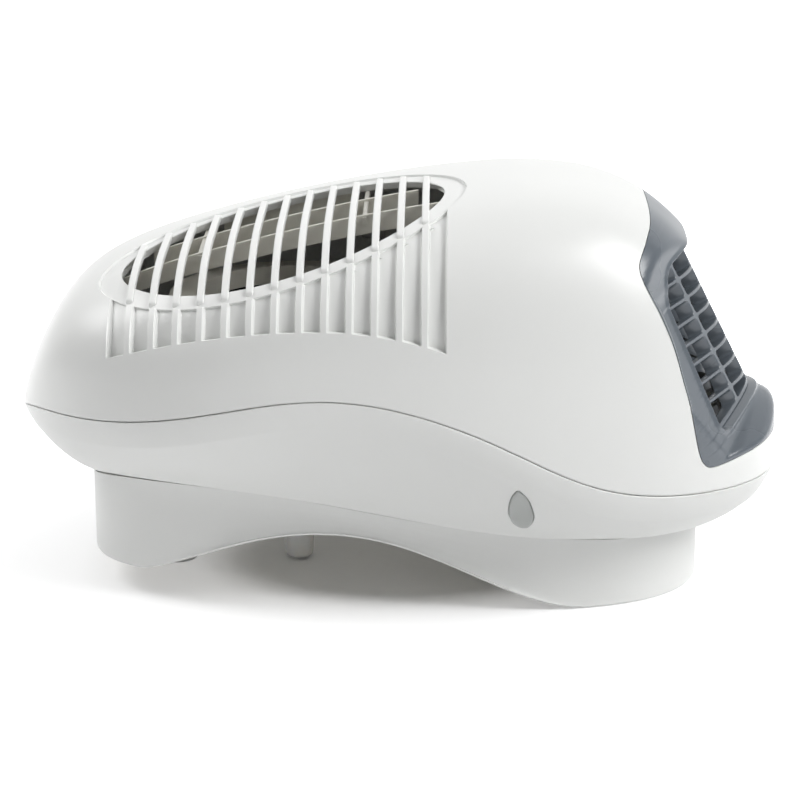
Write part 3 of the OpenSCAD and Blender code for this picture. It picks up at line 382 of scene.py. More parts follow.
def pocketFoot(x):
    i = intake
    d = x - i["footX"]
    return i["footHeight"] - np.where(d < 0, i["footLeft"], i["footRight"]) * d ** 2


def coverStations():
    b, i = body, intake
    xs = list(-np.cos(np.linspace(0, np.pi, 190)) * b["halfLength"])
    for k in range(i["pockets"]):
        left = i["firstPocket"] + k * i["pitch"]
        for edge in (left, left + i["pocketWidth"]):
            xs += [edge + d * i["edgeRound"] for d in edgeSteps]
    for end in (-1, 1):  # the blunt ends of the opening and of its border
        for grow in (0, i["border"]):
            tip = i["middle"] + end * (i["halfLength"] + grow * 2)
            xs += [tip - end * d for d in (-0.3, 0.02, 0.12, 0.35, 0.8, 1.5, 2.5, 4)]
    xs = sorted(xs)
    keep = [xs[0]]
    for x in xs[1:-1]:
        if x - keep[-1] > 0.12 and xs[-1] - x > 0.12:
            keep.append(x)
    return np.array(keep + [xs[-1]])


def coverSkin():
    b, i = body, intake
    xs = coverStations()
    xc = xs[:, None]
    w = np.maximum(halfWidth(xc), 0.5)
    low = jointHeight(xc)
    high = np.maximum(topHeight(xc), low + b["endHeight"])
    inv = 1 / b["roundPower"]
    toDeg = 180 / np.pi
    vAtHeight = lambda h: np.arcsin(np.clip(h / (high - low), 0, 1) ** inv) * toDeg
    vAtY = lambda y: np.arccos(-np.sign(y) * np.clip(np.abs(y) / w, 0, 1) ** inv) * toDeg
    mid, openHalf = intakeSpan(xc, 0, 0.2)
    midB, borderHalf = intakeSpan(xc, i["border"], 0.8)
    foot = np.clip(vAtHeight(np.maximum(pocketFoot(xc) - low, 1)), 8, 58)
    borderNear = np.maximum(vAtY(midB - borderHalf), foot + 3)
    openNear = np.maximum(vAtY(mid - openHalf), borderNear)
    openFar = np.maximum(vAtY(mid + openHalf), openNear)
    borderFar = np.maximum(vAtY(midB + borderHalf), openFar)
    farTop = np.maximum(vAtY(np.minimum(i["farPocket"], 0.9 * w)), borderFar + 1)
    farFoot = np.maximum(180 - foot, farTop + 1)
    step = 0.05  # for slopes, in degrees and in mm

    def perMm(v):
        # how many degrees one millimetre along the ring takes
        way = skinPoint(xc, np.minimum(v + step, 180)) - skinPoint(xc, np.maximum(v - step, 0))
        return 1 / np.maximum(np.linalg.norm(way, axis=-1) / (2 * step), 0.2)

    footMm, nearMm, openMm, farOpenMm, farMm, topMm, farFootMm = [
        perMm(v) for v in (foot, borderNear, openNear, openFar, borderFar, farTop, farFoot)]
    e = i["edgeRound"]
    beside = 1.3 * e
    cols, isTop = [], []

    def add(v, top=False):
        cols.append(v)
        isTop.append(top)

    def spread(a, c, n, top=False):
        for k in range(1, n + 1):
            add(a + (c - a) * k / (n + 1), top)

    def across(line, scale, steps=edgeSteps):
        for d in steps:
            add(line + d * e * scale)

    roll = [vAtHeight(np.minimum(h, 0.2 * (high - low))) for h in (0, 0.1, 0.25, 0.45, 0.8, 1.5)]
    for v in roll:
        add(v)
    spread(roll[-1], foot - beside * footMm, 16)
    across(foot, footMm)
    spread(foot + beside * footMm, borderNear - beside * nearMm, 20)
    across(borderNear, nearMm)
    spread(borderNear, openNear, 2)
    across(openNear, openMm, (-1.2, -0.7, -0.3, 0.0))
    spread(openNear, openFar, 14, True)
    across(openFar, farOpenMm, (0.0, 0.3, 0.7, 1.2))
    spread(openFar, borderFar, 2)
    across(borderFar, farMm)
    spread(borderFar + beside * farMm, farTop - beside * topMm, 14)
    across(farTop, topMm)
    spread(farTop + beside * topMm, farFoot - beside * farFootMm, 8)
    across(farFoot, farFootMm)
    spread(farFoot + beside * farFootMm, 180 - roll[-1], 12)
    for v in roll[::-1]:
        add(180 - v)
    v = np.minimum(np.maximum.accumulate(np.concatenate(cols, 1), 1), 180)
    p = skinPoint(xc, v)
    tip, end = b["halfLength"], b["halfLength"] - step
    du = skinPoint(np.clip(xc + step, -end, tip), v) - skinPoint(np.clip(xc - step, -tip, end), v)
    dv = skinPoint(xc, np.minimum(v + step, 180)) - skinPoint(xc, np.maximum(v - step, 0.0))
    n = np.cross(du, dv)
    n /= np.maximum(np.linalg.norm(n, axis=-1, keepdims=True), 1e-9)
    edge = lambda line, scale: smooth((v - line) / scale / (2 * e) + 0.5)
    inPocket = np.zeros_like(xc)
    for k in range(i["pockets"]):
        left = i["firstPocket"] + k * i["pitch"]
        fromLeft, fromRight = xc - left, left + i["pocketWidth"] - xc
        inPocket = np.maximum(inPocket, smooth(fromLeft / (2 * e) + 0.5) * smooth(fromRight / (2 * e) + 0.5))
    inPocket = np.where(high - low > 8, inPocket, 0)
    isNear = v < (openNear + openFar) / 2
    upward = smooth((v - foot) / np.maximum(borderNear - foot, 1))
    near = edge(foot, footMm) * (i["pocketDepth"] - 0.3 * upward)
    near = near * np.where(borderHalf > 1, 1, 1 - smooth((v - 62) / 6))
    far = edge(farTop, topMm) * (1 - edge(farFoot, farFootMm)) * i["pocketDepth"]
    depth = inPocket * np.where(isNear, near, far)
    depth = np.where((v > borderNear) & (v < borderFar), np.minimum(depth, i["sink"]), depth)
    sink = np.where(borderHalf > 0.9, i["sink"] * edge(borderNear, nearMm) * (1 - edge(borderFar, farMm)), 0)
    depth = np.maximum(depth, sink)
    rollIn = 0.5 * (1 - smooth((p[..., 2] - low) / 0.8)) ** 2  # soft edge along the joint
    toOpening = np.where(isNear, (v - openNear) / openMm, (openFar - v) / farOpenMm)
    rim = np.where(openHalf > 0.3, 0.35 * smooth(1 + toOpening / 0.5), 0)
    p = p - n * (depth + rollIn + rim)[..., None]
    for c in (0, -1):
        p[:, c, 2] = np.maximum(p[:, c, 2], low[:, 0] + 0.02)
    openHere = openHalf[:, 0] > 0.3
    count = v.shape[1]
    faces = []
    for r in range(len(xs) - 1):
        for c in range(count - 1):
            if not (openHere[r] and openHere[r + 1] and (isTop[c] or isTop[c + 1])):
                k = r * count + c
                faces.append((k, k + 1, k + count + 1, k + count))
    return makeObject("coverSkin", p.reshape(-1, 3), faces, whiteAbs)


def ribProfile(width, depth, radius):
    # rounded upper corners, plain lower ones; across, down
    pts = [(-width / 2, -depth), (-width / 2, -radius)]
    for k in range(1, 5):
        a = math.pi / 2 * k / 4
        pts.append((-width / 2 + radius - radius * math.cos(a), -radius + radius * math.sin(a)))
    pts += [(-x, z) for x, z in reversed(pts[:])]
    out = []
    for q in pts:
        if not out or abs(q[0] - out[-1][0]) + abs(q[1] - out[-1][1]) > 1e-6:
            out.append(q)
    return out


def sweep(profile, path, up, side):
    # closed solid: the profile set up at each point of the path
    pts = [p + s * a + u * b for p, u, s in zip(path, up, side) for a, b in profile]
    return pts, lidFaces(len(path), len(profile))


def intakeRibs():
    i = intake
    pts, faces = [], []
    for k in range(i["pockets"] - 1):
        x = i["firstPocket"] + k * i["pitch"] + i["pocketWidth"] + i["ribWidth"] / 2
        mid, half = intakeSpan(x, i["border"])
        reach = float(half) - i["ribEndGap"]
        ys = float(mid) + reach * np.sin(np.linspace(-np.pi / 2, np.pi / 2, 61))
        z = skinHeight(x, ys)
        path = np.stack([np.full_like(ys, x), ys, z], -1)
        side = np.tile([1.0, 0, 0], (len(ys), 1))
        up = np.cross(side, unit(np.gradient(path, axis=0)))
        fromEnd = reach - np.abs(ys - float(mid))
        arc = np.maximum(0, 1 - np.minimum(1, fromEnd / i["ribEndRound"])) ** 2
        path = path - up * (arc * i["ribEndDrop"])[:, None]
        profile = ribProfile(i["ribWidth"], i["ribDepth"] - i["ribLift"], i["ribRound"])
        gather(pts, faces, sweep(profile, path, up, side))
    return makeObject("intakeRibs", pts, faces, whiteAbs)


def guardBlades():
    # three blades along the opening, and two ties across them
    i = intake
    bars = []
    blade = ribProfile(i["bladeWidth"], i["bladeHeight"], i["bladeRound"])
    tie = ribProfile(i["tieWidth"], i["tieHeight"], i["bladeRound"])
    for k in (-1, 0, 1):
        y = k * i["bladePitch"]
        off = min(0.9, abs(y - i["across"]) / i["halfWidth"])
        reach = i["halfLength"] * math.sqrt(1 - off ** 2) - 1
        xs = np.linspace(i["middle"] - reach, i["middle"] + reach, 60)
        z = skinHeight(xs, y, i["ribDepth"] + i["bladeGap"])
        bars.append((blade, np.stack([xs, np.full_like(xs, y), z], -1), (0, 1.0, 0)))
    for x in (i["middle"] - i["tieX"], i["middle"] + i["tieX"]):
        ys = np.linspace(-i["bladePitch"] - i["tieOver"], i["bladePitch"] + i["tieOver"], 31)
        z = skinHeight(x, ys, i["ribDepth"]) - i["tieDrop"]
        bars.append((tie, np.stack([np.full_like(ys, x), ys, z], -1), (1.0, 0, 0)))
    pts, faces = [], []
    for profile, path, side in bars:
        n = (len(path), 1)
        gather(pts, faces, sweep(profile, path, np.tile((0, 0, 1.0), n), np.tile(side, n)))
    return makeObject("guardBlades", pts, faces, creamNylon)


# The lower shell: band under the joint, soft crease, underside drawn in to the base

shell = {
    "bandHeight": 12.0, "bandTuck": 2.5, "crown": 0.5, "sag": 3.0, "endTuck": 3.0,
    "creaseRound": 0.8, "edgeRound": 0.5, "stations": 200,
}


def ringAngles():
    n = shell["stations"]
    near = [180.0 * i / n for i in range(n + 1)]
    return np.array(near + near[-2:0:-1]), np.array([-1.0] * (n + 1) + [1.0] * (n - 1))


def bodyRing(inset, drop, tuck=0.0):
    t, side = ringAngles()
    end = body["halfLength"]
    x = -np.cos(np.radians(t)) * end
    y = side * np.maximum(halfWidth(x) - inset, np.minimum(t, 180 - t) * 0.05)
    return np.stack([x * (end - inset - tuck) / end, y, jointHeight(x) + drop], -1)


def rimHeight(x):
    b = base
    u = np.clip((x - b["rimEnd"]) / (b["archX"] - b["rimEnd"]), 0, 1)
    left = b["rimHeight"] + (b["archHeight"] - b["rimHeight"]) * np.sin(np.pi / 2 * u) ** b["archLeft"]
    v = np.clip((x - b["archX"]) / (b["archEnd"] - b["archX"]), 0, 1)
    right = b["archHeight"] * (1 - smooth(v ** b["archRight"]))
    return np.where(x < b["archX"], left, right)


def edgeHeight(x):
    b = base
    return (b["edgeLow"] + b["edgeRise"] / (1 + np.exp((x - b["edgeX"]) / b["edgeWidth"]))
            - b["edgeDip"] * np.exp(-(x + b["left"]) / b["dipWidth"]))


def baseRing(inset, waist, share, lift):
    b = base
    t, side = ringAngles()
    c, s = np.cos(np.radians(180 - t)), np.sin(np.radians(180 - t))
    s = np.maximum(s, 0)
    isLeft = c < 0
    x = b["middle"] + np.where(isLeft, -(b["left"] + b["middle"] - inset) * np.abs(c) ** (2 / b["leftPower"]),
                               (b["right"] - b["middle"] - inset) * np.abs(c) ** (2 / b["rightPower"]))
    n = np.where(isLeft, b["leftPower"], b["rightPower"])
    waist = waist * np.minimum(1, (edgeHeight(x) - rimHeight(x)) / b["waistFull"])
    half = (b["halfWidth"] - inset) * s ** (2 / n) - waist * s ** 3
    y = side * np.maximum(half, np.minimum(t, 180 - t) * 0.05)
    return np.stack([x, y, rimHeight(x) + (edgeHeight(x) - rimHeight(x)) * share + lift], -1)


def loft(name, rings, material):
    return makeObject(name, np.concatenate(rings), loopFaces(len(rings), len(rings[0])), material)


# The button's outline as the photo shows it, across and down
leaf = [(-1.6, -10.7), (0.8, -8.35), (2.6, -5.25), (3.75, -1.6), (4.75, 2.65), (5.05, 5.2), (4.75, 8.0),
        (3.95, 10.0), (2.8, 11.4), (1.0, 11.75), (-0.7, 11.2), (-2.4, 9.85), (-3.75, 7.9), (-4.65, 5.4),
        (-5.15, 2.95), (-5.1, -0.45), (-4.85, -3.25), (-4.1, -6.65), (-3.1, -8.9)]


def eggOutline(grow):
    loop = np.array(smoothCurve(leaf, 6, closed=True))
    if grow <= 0:
        return [tuple(q) for q in loop * (1 + grow / button["width"] * 2.1)]
    t = unit(np.roll(loop, -1, 0) - np.roll(loop, 1, 0))
    return [tuple(q) for q in loop + grow * np.stack([t[:, 1], -t[:, 0]], -1)]


button = {
    "width": 11.0, "proud": 0.4, "thickness": 4.0, "gap": 0.22, "fillet": 0.9,
    "hollowY": -1.0, "hollowRadius": 28.0, "hollowDepth": 1.2, "stem": 6.0, "stemLength": 8.4,
    "at": (50.5, -72.6, 49.2), "facing": (0.0, 0.876, 0.483),
}


tilt = math.atan2(button["facing"][2], button["facing"][1])
buttonTurn = Matrix.Rotation(tilt, 4, "X") @ Matrix.Rotation(-math.pi / 2, 4, "X")
buttonTurn = Matrix.Translation(button["at"]) @ buttonTurn


def lowerShell():
    s, b = shell, body
    w = b["wall"]
    top = bodyRing(0, -b["gap"])
    crease = bodyRing(s["bandTuck"], -s["bandHeight"], s["endTuck"])
    foot = baseRing(0, 0, 1, b["gap"])

    def band(t):
        p = top * (1 - t) + crease * t
        out = p[:, :2] / np.maximum(np.linalg.norm(p[:, :2], axis=1, keepdims=True), 1)
        p[:, :2] += out * (s["crown"] * 4 * t * (1 - t))
        return p

    def under(t, inset=0.0):
        a = bodyRing(s["bandTuck"] + inset, -s["bandHeight"], s["endTuck"])
        p = a * (1 - t) + baseRing(inset, 0, 1, b["gap"]) * t
        p[:, 2] -= 4 * s["sag"] * t * (1 - t)
        return p

    rings = []
    roll = s["edgeRound"]
    inward = bodyRing(roll, -b["gap"])
    for k in range(4):  # rolled upper edge
        a = math.pi / 2 * k / 4
        p = inward + (top - inward) * math.sin(a)
        p[:, 2] -= roll * (1 - math.cos(a))
        rings.append(p)
    rings += [band(t) for t in np.linspace(roll / s["bandHeight"], 1 - s["creaseRound"] / s["bandHeight"], 9)]
    length = np.linalg.norm(under(0.2) - crease, axis=1, keepdims=True)
    near = np.clip(s["creaseRound"] / np.maximum(length, 2) * 0.2, 0.005, 0.15)
    a0 = band(1 - s["creaseRound"] / s["bandHeight"])
    a2 = crease + (under(0.2) - crease) * (near / 0.2)
    rings += [bend(a0, crease, a2, k / 6) for k in range(1, 6)] + [a2]
    rings += [under(t) for t in np.linspace(0.2, 0.97, 14)]
    lipIn = baseRing(0.8, 0, 1, b["gap"] + 0.1)
    rings += [bend(under(0.97), foot, lipIn, k / 4) for k in range(1, 5)]  # rounded lower edge
    rings.append(baseRing(w, 0, 1, b["gap"] + 2))
    rings += [under(t, w) for t in np.linspace(0.8, 0.1, 5)]
    rings += [bodyRing(s["bandTuck"] + w, -s["bandHeight"], s["endTuck"]), bodyRing(w, -b["gap"])]
    o = loft("lowerShell", rings, whiteAbs)
    # the hole of the button: a wide mouth that narrows to the gap
    gap = button["gap"]
    levels = ((2.2, -3), (1.05, -0.9), (0.75, -0.2), (0.5, 0.1), (0.38, 0.5), (gap, 1.0), (gap, 9))
    pts = [tuple(buttonTurn @ Vector((x, y, depth))) for grow, depth in levels for x, y in eggOutline(grow)]
    cut(o, makeObject("eggCutter", pts, lidFaces(len(levels), len(pts) // len(levels)), None, None))
    finishMesh(o)
    return o


def wallBase():
    b = base
    w, r = b["wall"], b["rimRound"]
    x = baseRing(0, 0, 0, 0)[:, 0]
    fade = 1 - smooth((x - 55) / 60)[:, None]  # the waist runs out toward the outlet
    rings = []
    # how deep the waist is at each share of the wall's height
    depthAt = lambda s: b["waist"] * np.interp(s, (0, 0.12, 0.3, 0.5, 0.66, 0.85, 1.0),
                                               (0, 0.34, 0.7, 0.93, 1.0, 0.93, 0.8))
    for k in range(6):  # rounded rim
        a = math.pi / 2 * k / 5
        p = baseRing(r * (1 - math.sin(a)), 0, 0, 0)
        p[:, 2] += r * (1 - math.cos(a))
        rings.append(p)
    for s in list(np.linspace(0.06, 0.9, 15)) + [0.95, 0.985]:
        p = baseRing(0, depthAt(s), s, 0)
        flush = baseRing(0, depthAt(0.5) * (1 - s) * 2 if s > 0.5 else depthAt(s), s, 0)
        rings.append(p * fade + flush * (1 - fade))
    rings += [baseRing(w, b["waist"] * 0.8, 0.985, 0), baseRing(w, b["waist"], 0.62, 0),
              baseRing(w, b["waist"] * 0.7, 0.3, 1), baseRing(w, 0, 0, w),
              baseRing(w - 0.1, 0, 0, 0.4), baseRing(w - 0.5, 0, 0, 0)]
    return loft("wallBase", rings, whiteAbs)


def lathe(name, profile, x, material):
    # closed profile of (radius, height), turned about the upright line at x
    n = 96
    turn = [2 * math.pi * j / n for j in range(n)]
    pts = [(x + r * math.cos(a), r * math.sin(a), z) for r, z in profile for a in turn]
    return makeObject(name, pts, loopFaces(len(profile), n), material)


def corner(a, b, c, r):
    # rounds the corner b of a profile between a and c
    a, b, c = (np.array(p, float) for p in (a, b, c))
    p, q = b + (a - b) / np.linalg.norm(a - b) * r, b + (c - b) / np.linalg.norm(c - b) * r
    return [tuple(bend(p, b, q, t)) for t in np.linspace(0, 1, 6)]


post = {
    "x": -97.0, "radius": 8.5, "foot": 2.0, "top": 24.0, "spigotRadius": 5.0, "underPanel": 1.1,
    "hole": 2.5, "head": 4.5, "headTop": 5.0, "cutReach": 14,
}
sleeve = {
    "x": -44.0, "foot": 1.2, "top": 32.37, "mouthRadius": 6.0, "neckRadius": 5.5, "neckTop": 41.0,
    "bore": 3.8, "flare": 1.4,
}


def supportPost():
    p = post
    r, foot, head, top = p["radius"], p["foot"], p["head"], p["top"]
    profile = [(head, foot)] + corner((head, foot), (r, foot), (r, top), 0.9)
    profile += [(r, top), (p["spigotRadius"], top), (p["hole"], top)]
    profile += [(p["hole"], p["headTop"]), (head, p["headTop"])]
    o = lathe("supportPost", profile, p["x"], whiteAbs)
    # its upper end follows the panel that it stands under
    left, right = p["x"] - p["cutReach"], p["x"] + p["cutReach"]
    panel = [(x, float(rimHeight(x)) + p["underPanel"]) for x in np.linspace(left, right, 15)]
    cut(o, prism("underside", panel + [(right, 60.0), (left, 60.0)], 20))
    finishMesh(o)
    pad = [(head, 0.0), (r - 0.5, 0.0)] + corner((r - 0.5, 0), (r, 0.0), (r, 2), 0.4)[1:]
    pad += corner((r, 0), (r, foot), (head, foot), 0.35) + [(head, foot)]
    return lathe("postPad", pad, p["x"], clearNylon)


def cableSleeve():
    s = sleeve
    out, neck = s["mouthRadius"] + s["flare"], s["neckRadius"]
    bore, foot, mouth = (s["bore"], s["foot"]), s["foot"], (s["mouthRadius"], s["foot"])
    profile = [(s["bore"], foot + 1)] + corner((s["bore"], foot + 1), bore, mouth, 0.6)
    profile += corner(bore, mouth, (out, s["top"]), 1.6)
    profile += [(out, s["top"]), (neck, s["top"])]
    z = s["top"] + 1
    while z < s["neckTop"] - 1:  # rolled thread
        profile += [(neck, z), (neck - 0.45, z + 0.5)]
        z += 1.0
    profile += [(neck - 0.3, s["neckTop"]), (s["bore"], s["neckTop"])]
    return lathe("cableSleeve", profile, s["x"], clearNylon)


def powerButton():
    k = button

    def dish(x, y):
        # the hollow in the cap, which runs out softly before the rim
        fromMiddle = x * x + (y - k["hollowY"]) ** 2
        d = k["hollowDepth"] - (k["hollowRadius"] - math.sqrt(max(k["hollowRadius"] ** 2 - fromMiddle, 1)))
        return -k["proud"] + (d if d > 0.3 else 0.3 * math.exp((d - 0.3) / 0.3) if d > -3 else 0)

    f = k["fillet"]
    rings = [[(x * s, y * s, dish(x * s, y * s)) for x, y in eggOutline(-f)]
             for s in (0.04, 0.2, 0.36, 0.5, 0.62, 0.73, 0.82, 1.0)]
    for j in range(1, 7):
        a = math.pi / 2 * j / 6
        outline = eggOutline(-f + f * math.sin(a))
        rings.append([(x, y, dish(x, y) + f * (1 - math.cos(a))) for x, y in outline])
    back = k["thickness"] - k["proud"]
    for grow in (0, -1.2):
        rings.append([(x, y, back) for x, y in eggOutline(grow)])
    n = len(rings[0])
    turns = [2 * math.pi * j / n for j in range(n)]
    stem = [(k["stem"] / 2 * math.cos(a), k["stem"] / 2 * math.sin(a)) for a in turns]
    end = back + k["stemLength"]
    for shrink, z in ((1, back), (1, end - 0.5), (0.83, end)):
        rings.append([(x * shrink, y * shrink, z) for x, y in stem])
    pts = [tuple(buttonTurn @ Vector(p)) for ring in rings for p in ring]
    return makeObject("powerButton", pts, lidFaces(len(rings), n), buttonAbs, "button")


# The outlet: nose, hood and lip as one blended surface in the frame of the leaning face

outlet = {
    "at": (135.5, 0.0, 112.4), "lean": 27.0, "noseRound": 12.0, "noseSlope": 0.52,
    "hoodX": 125.0, "hoodFrom": 24.0, "hoodOver": 8.0, "hoodBlend": 11.0, "edgeBlend": 2.4, "flange": 0.4,
    "lipAt": -26.29, "lipSlope": 0.738, "chinAt": -69.0, "chinSlope": 2.0, "chinRound": 3.0,
    "lipTurn": 0.45, "lipBack": 0.8, "lipBlend": 1.2,
    "halfWidth": 43.0, "taper": 3.0, "low": -33.0, "high": 36.0, "cornerRound": 5.0,
    "beadHeight": 0.9, "beadAt": 2.4, "beadWidth": 0.8, "wall": 3.2, "gap": 0.3,
    "rows": 8, "columns": 4, "rowBar": 1.5, "columnBar": 2.1, "grilleDepth": 6.5, "grilleSet": 2.2,
    "cellRound": 1.6, "cellFlare": 0.35, "cellMargin": 1.9, "rowRise": 0.45, "riseFrom": 8.0, "riseReach": 44,
}
# The edge between cover and frame, seen from the side
frameSide = [(102.8, 185), (103.2, 162), (100.4, 154.3), (97, 147), (98.4, 141), (101.5, 135), (106.3, 126),
             (111.5, 113.7), (115.6, 100), (118.5, 90), (121.5, 76), (123, 69.8), (125, 65), (129, 62.5),
             (140, 64), (165, 68)]
frameLine = np.array(smoothCurve(frameSide, 6))
lean = math.radians(outlet["lean"])


def faceToWorld(p):
    p = np.asarray(p, float)
    c, s = math.cos(lean), math.sin(lean)
    x, y, z = p[..., 0], p[..., 1], p[..., 2]
    return np.stack([outlet["at"][0] + x * c - z * s, y, outlet["at"][2] + x * s + z * c], -1)


def noseBack(y):
    r = outlet["noseRound"]
    return outlet["noseSlope"] * (np.sqrt(np.asarray(y, float) ** 2 + r * r) - r)


def softMin(a, b, k):
    return np.minimum(a, b) - np.maximum(k - np.abs(a - b), 0) ** 2 / (4 * k)


def softMax(a, b, k):
    return -softMin(-a, -b, k)


def domeReach(y, z, inset=0.0):
    # how far out along the face's own axis the body's skin lies, found by halving
    y, z = np.broadcast_arrays(np.asarray(y, float), np.asarray(z, float))
    lo, hi = np.full(y.shape, -95.0), np.full(y.shape, 60.0)
    for _ in range(34):
        mid = (lo + hi) / 2
        p = faceToWorld(np.stack([mid, y, z], -1))
        out = (p[..., 2] > skinHeight(p[..., 0], y, inset)) | (p[..., 0] > body["halfLength"] - inset)
        out |= (np.abs(y) > np.maximum(halfWidth(p[..., 0]) - inset, 0.01))
        lo, hi = np.where(out, lo, mid), np.where(out, mid, hi)
    return (lo + hi) / 2


def outlineDistance(y, z):
    # signed distance to the rounded opening, negative inside
    o = outlet
    r = o["cornerRound"]
    top, low = o["halfWidth"] - o["taper"] - r, o["halfWidth"] + o["taper"] - r
    zt, zl = o["high"] - r, o["low"] + r
    y = np.abs(y)
    e = np.array([top - low, zt - zl])
    e = e / np.linalg.norm(e)
    nrm = np.array([e[1], -e[0]])
    side = (y - low) * nrm[0] + (z - zl) * nrm[1]
    up, down = z - zt, zl - z
    inside = np.maximum(np.maximum(side, up), down)
    along = np.clip((y - low) * e[0] + (z - zl) * e[1], 0, np.hypot(top - low, zt - zl))
    dSide = np.hypot(y - low - along * e[0], z - zl - along * e[1])
    dTop = np.hypot(np.maximum(y - top, 0), z - zt)
    dLow = np.hypot(np.maximum(y - low, 0), z - zl)
    return np.where(inside < 0, inside, np.minimum(dSide, np.minimum(dTop, dLow))) - r


def nosePlane(y, z, inset, fine):
    # the same for the nose, its hood, its sides and its lip
    o = outlet
    c, s = math.cos(lean), math.sin(lean)
    back = noseBack(y)
    nose = -back - inset
    hood = (o["hoodX"] - inset / c - back / c - o["at"][0] + z * s) / c
    over = smooth((z - o["hoodFrom"]) / o["hoodOver"])
    hood = np.where(over > 0, hood * over + (1 - over) * np.minimum(hood, nose - 6), nose - 30)
    out = softMax(nose, hood, o["hoodBlend"])
    # beside the nose the frame fills the cover's mouth, just past the cover's edge
    along = (frameLine[:, 0] - o["at"][0]) * c + (frameLine[:, 1] - o["at"][2]) * s
    across = (frameLine[:, 1] - o["at"][2]) * c - (frameLine[:, 0] - o["at"][0]) * s
    order = np.argsort(across)
    out = np.maximum(out, np.interp(z, across[order], along[order]) + o["flange"] - inset)
    if fine:
        # the bead round the opening, and the lip with the chin below it
        d = outlineDistance(y, z)
        out = out + o["beadHeight"] * np.exp(-((d - o["beadAt"]) / o["beadWidth"]) ** 2)
        low = z + o["lipTurn"] * back
        lip = softMin(o["lipAt"] - o["lipSlope"] * low, o["chinAt"] - o["chinSlope"] * low, o["chinRound"])
        out = softMax(out, lip - o["lipBack"] * back, o["lipBlend"])
    return out


def outletSolid(name, inset, rows, columns, fine):
    # level rings, one per row
    back = -62.0
    zs = np.concatenate([np.arange(-60, -48, rows), np.arange(-48, -40, rows * (0.6 if fine else 1)),
                         np.arange(-40, 58, rows), np.arange(58, 72.1, rows)])
    ys = np.concatenate([np.linspace(0, 40, 160), np.linspace(40.2, 90, 420)])
    allY, allZ = np.meshgrid(ys, zs)
    plane = nosePlane(allY, allZ, inset, fine)
    u = softMin(domeReach(allY, allZ, inset), plane, outlet["edgeBlend"] if fine else 0.5)
    rings = []
    for z, line in zip(zs, u):
        stop = int(np.argmax(line < back)) if (line < back).any() else len(line) - 1
        stop = max(stop, 6)
        y, x = ys[:stop].copy(), np.maximum(line[:stop], back + 0.01)
        y, x = np.append(y, ys[stop]), np.append(x, back)
        ds = np.hypot(np.diff(y), np.diff(x))
        turnBy = np.abs(np.diff(np.unwrap(np.arctan2(np.diff(x), np.diff(y)))))
        turnBy = np.convolve(np.append(turnBy, 0), np.ones(7) / 7, "same")
        weight = np.cumsum(ds / 1.4 + np.minimum(turnBy, 0.4) * 9)
        weight = np.concatenate([[0], weight])
        want = np.linspace(0, weight[-1], columns)
        yy, xx = np.interp(want, weight, y), np.interp(want, weight, x)
        yy[0] = 0
        ring = [(a, b, z) for a, b in zip(xx, yy)]
        rings.append(faceToWorld([(a, -b, z) for a, b, _ in ring[:0:-1]] + ring))
    faces = lidFaces(len(rings), len(rings[0]))
    return makeObject(name, np.concatenate(rings), faces, greyAbs, "casing" if fine else None)


def arcs(corners, radius, steps):
    # rounded corners, each as (across, up, first angle, last angle)
    return [(y + radius * math.cos(math.radians(a)), z + radius * math.sin(math.radians(a)))
            for y, z, a0, a1 in corners for a in np.linspace(a0, a1, steps)]


def divided(loop, parts):
    # each side of the loop in as many parts as its length asks for
    out = []
    for p, q in zip(loop, loop[1:] + loop[:1]):
        k = parts(math.dist(p, q))
        out += [(p[0] + (q[0] - p[0]) * j / k, p[1] + (q[1] - p[1]) * j / k) for j in range(k)]
    return out


def outletOutline(grow):
    o = outlet
    r, half, taper, high, low = o["cornerRound"], o["halfWidth"], o["taper"], o["high"], o["low"]
    corners = ((half + taper - r, low + r, -90, 5), (half - taper - r, high - r, 5, 90),
               (-half + taper + r, high - r, 90, 175), (-half - taper + r, low + r, 175, 270))
    return divided(arcs(corners, r + grow, 10), lambda gap: max(1, int(gap / 2.5)))


def outletTool(name, levels):
    # follows the curved nose; levels of (growth of the outline, depth behind the face)
    n, rings = 260, []
    for grow, depth in levels:
        outline = outletOutline(grow)
        gaps = [math.dist(p, q) for p, q in zip(outline, outline[1:] + outline[:1])]
        length = np.concatenate([[0], np.cumsum(gaps)])
        want = np.linspace(0, length[-1], n, endpoint=False)
        loop = np.array(outline + outline[:1])
        y, z = np.interp(want, length, loop[:, 0]), np.interp(want, length, loop[:, 1])
        rings.append(faceToWorld(np.stack([-noseBack(y) - depth, y, z], -1)))
    return makeObject(name, np.concatenate(rings), lidFaces(len(rings), n), None, None)


def sideZone(name, grow):
    # all on the outlet's side of the frame's edge, grown by a gap
    t = unit(np.gradient(frameLine, axis=0))
    line = frameLine + grow * np.stack([t[:, 1], -t[:, 0]], -1)
    top, far = 190.0, 175.0
    outline = [(line[0][0], top)] + [tuple(p) for p in line] + [(far, line[-1][1]), (far, top)]
    return prism(name, outline, 100)


def outletFrame():
    o = outlet
    f = outletSolid("outletFrame", 0.0, 0.7, 150, True)
    cut(f, outletSolid("hollow", o["wall"], 1.6, 60, False))
    levels = [(2.2, -30), (2.2, -2), (1.7, -0.5), (1.35, 0.2), (0.3, 1.9), (0.05, 2.5), (0, 3), (0, 50)]
    cut(f, outletTool("opening", levels))
    cut(f, sideZone("zone", 0.0), "INTERSECT")
    finishMesh(f, sharp=40)
    return f


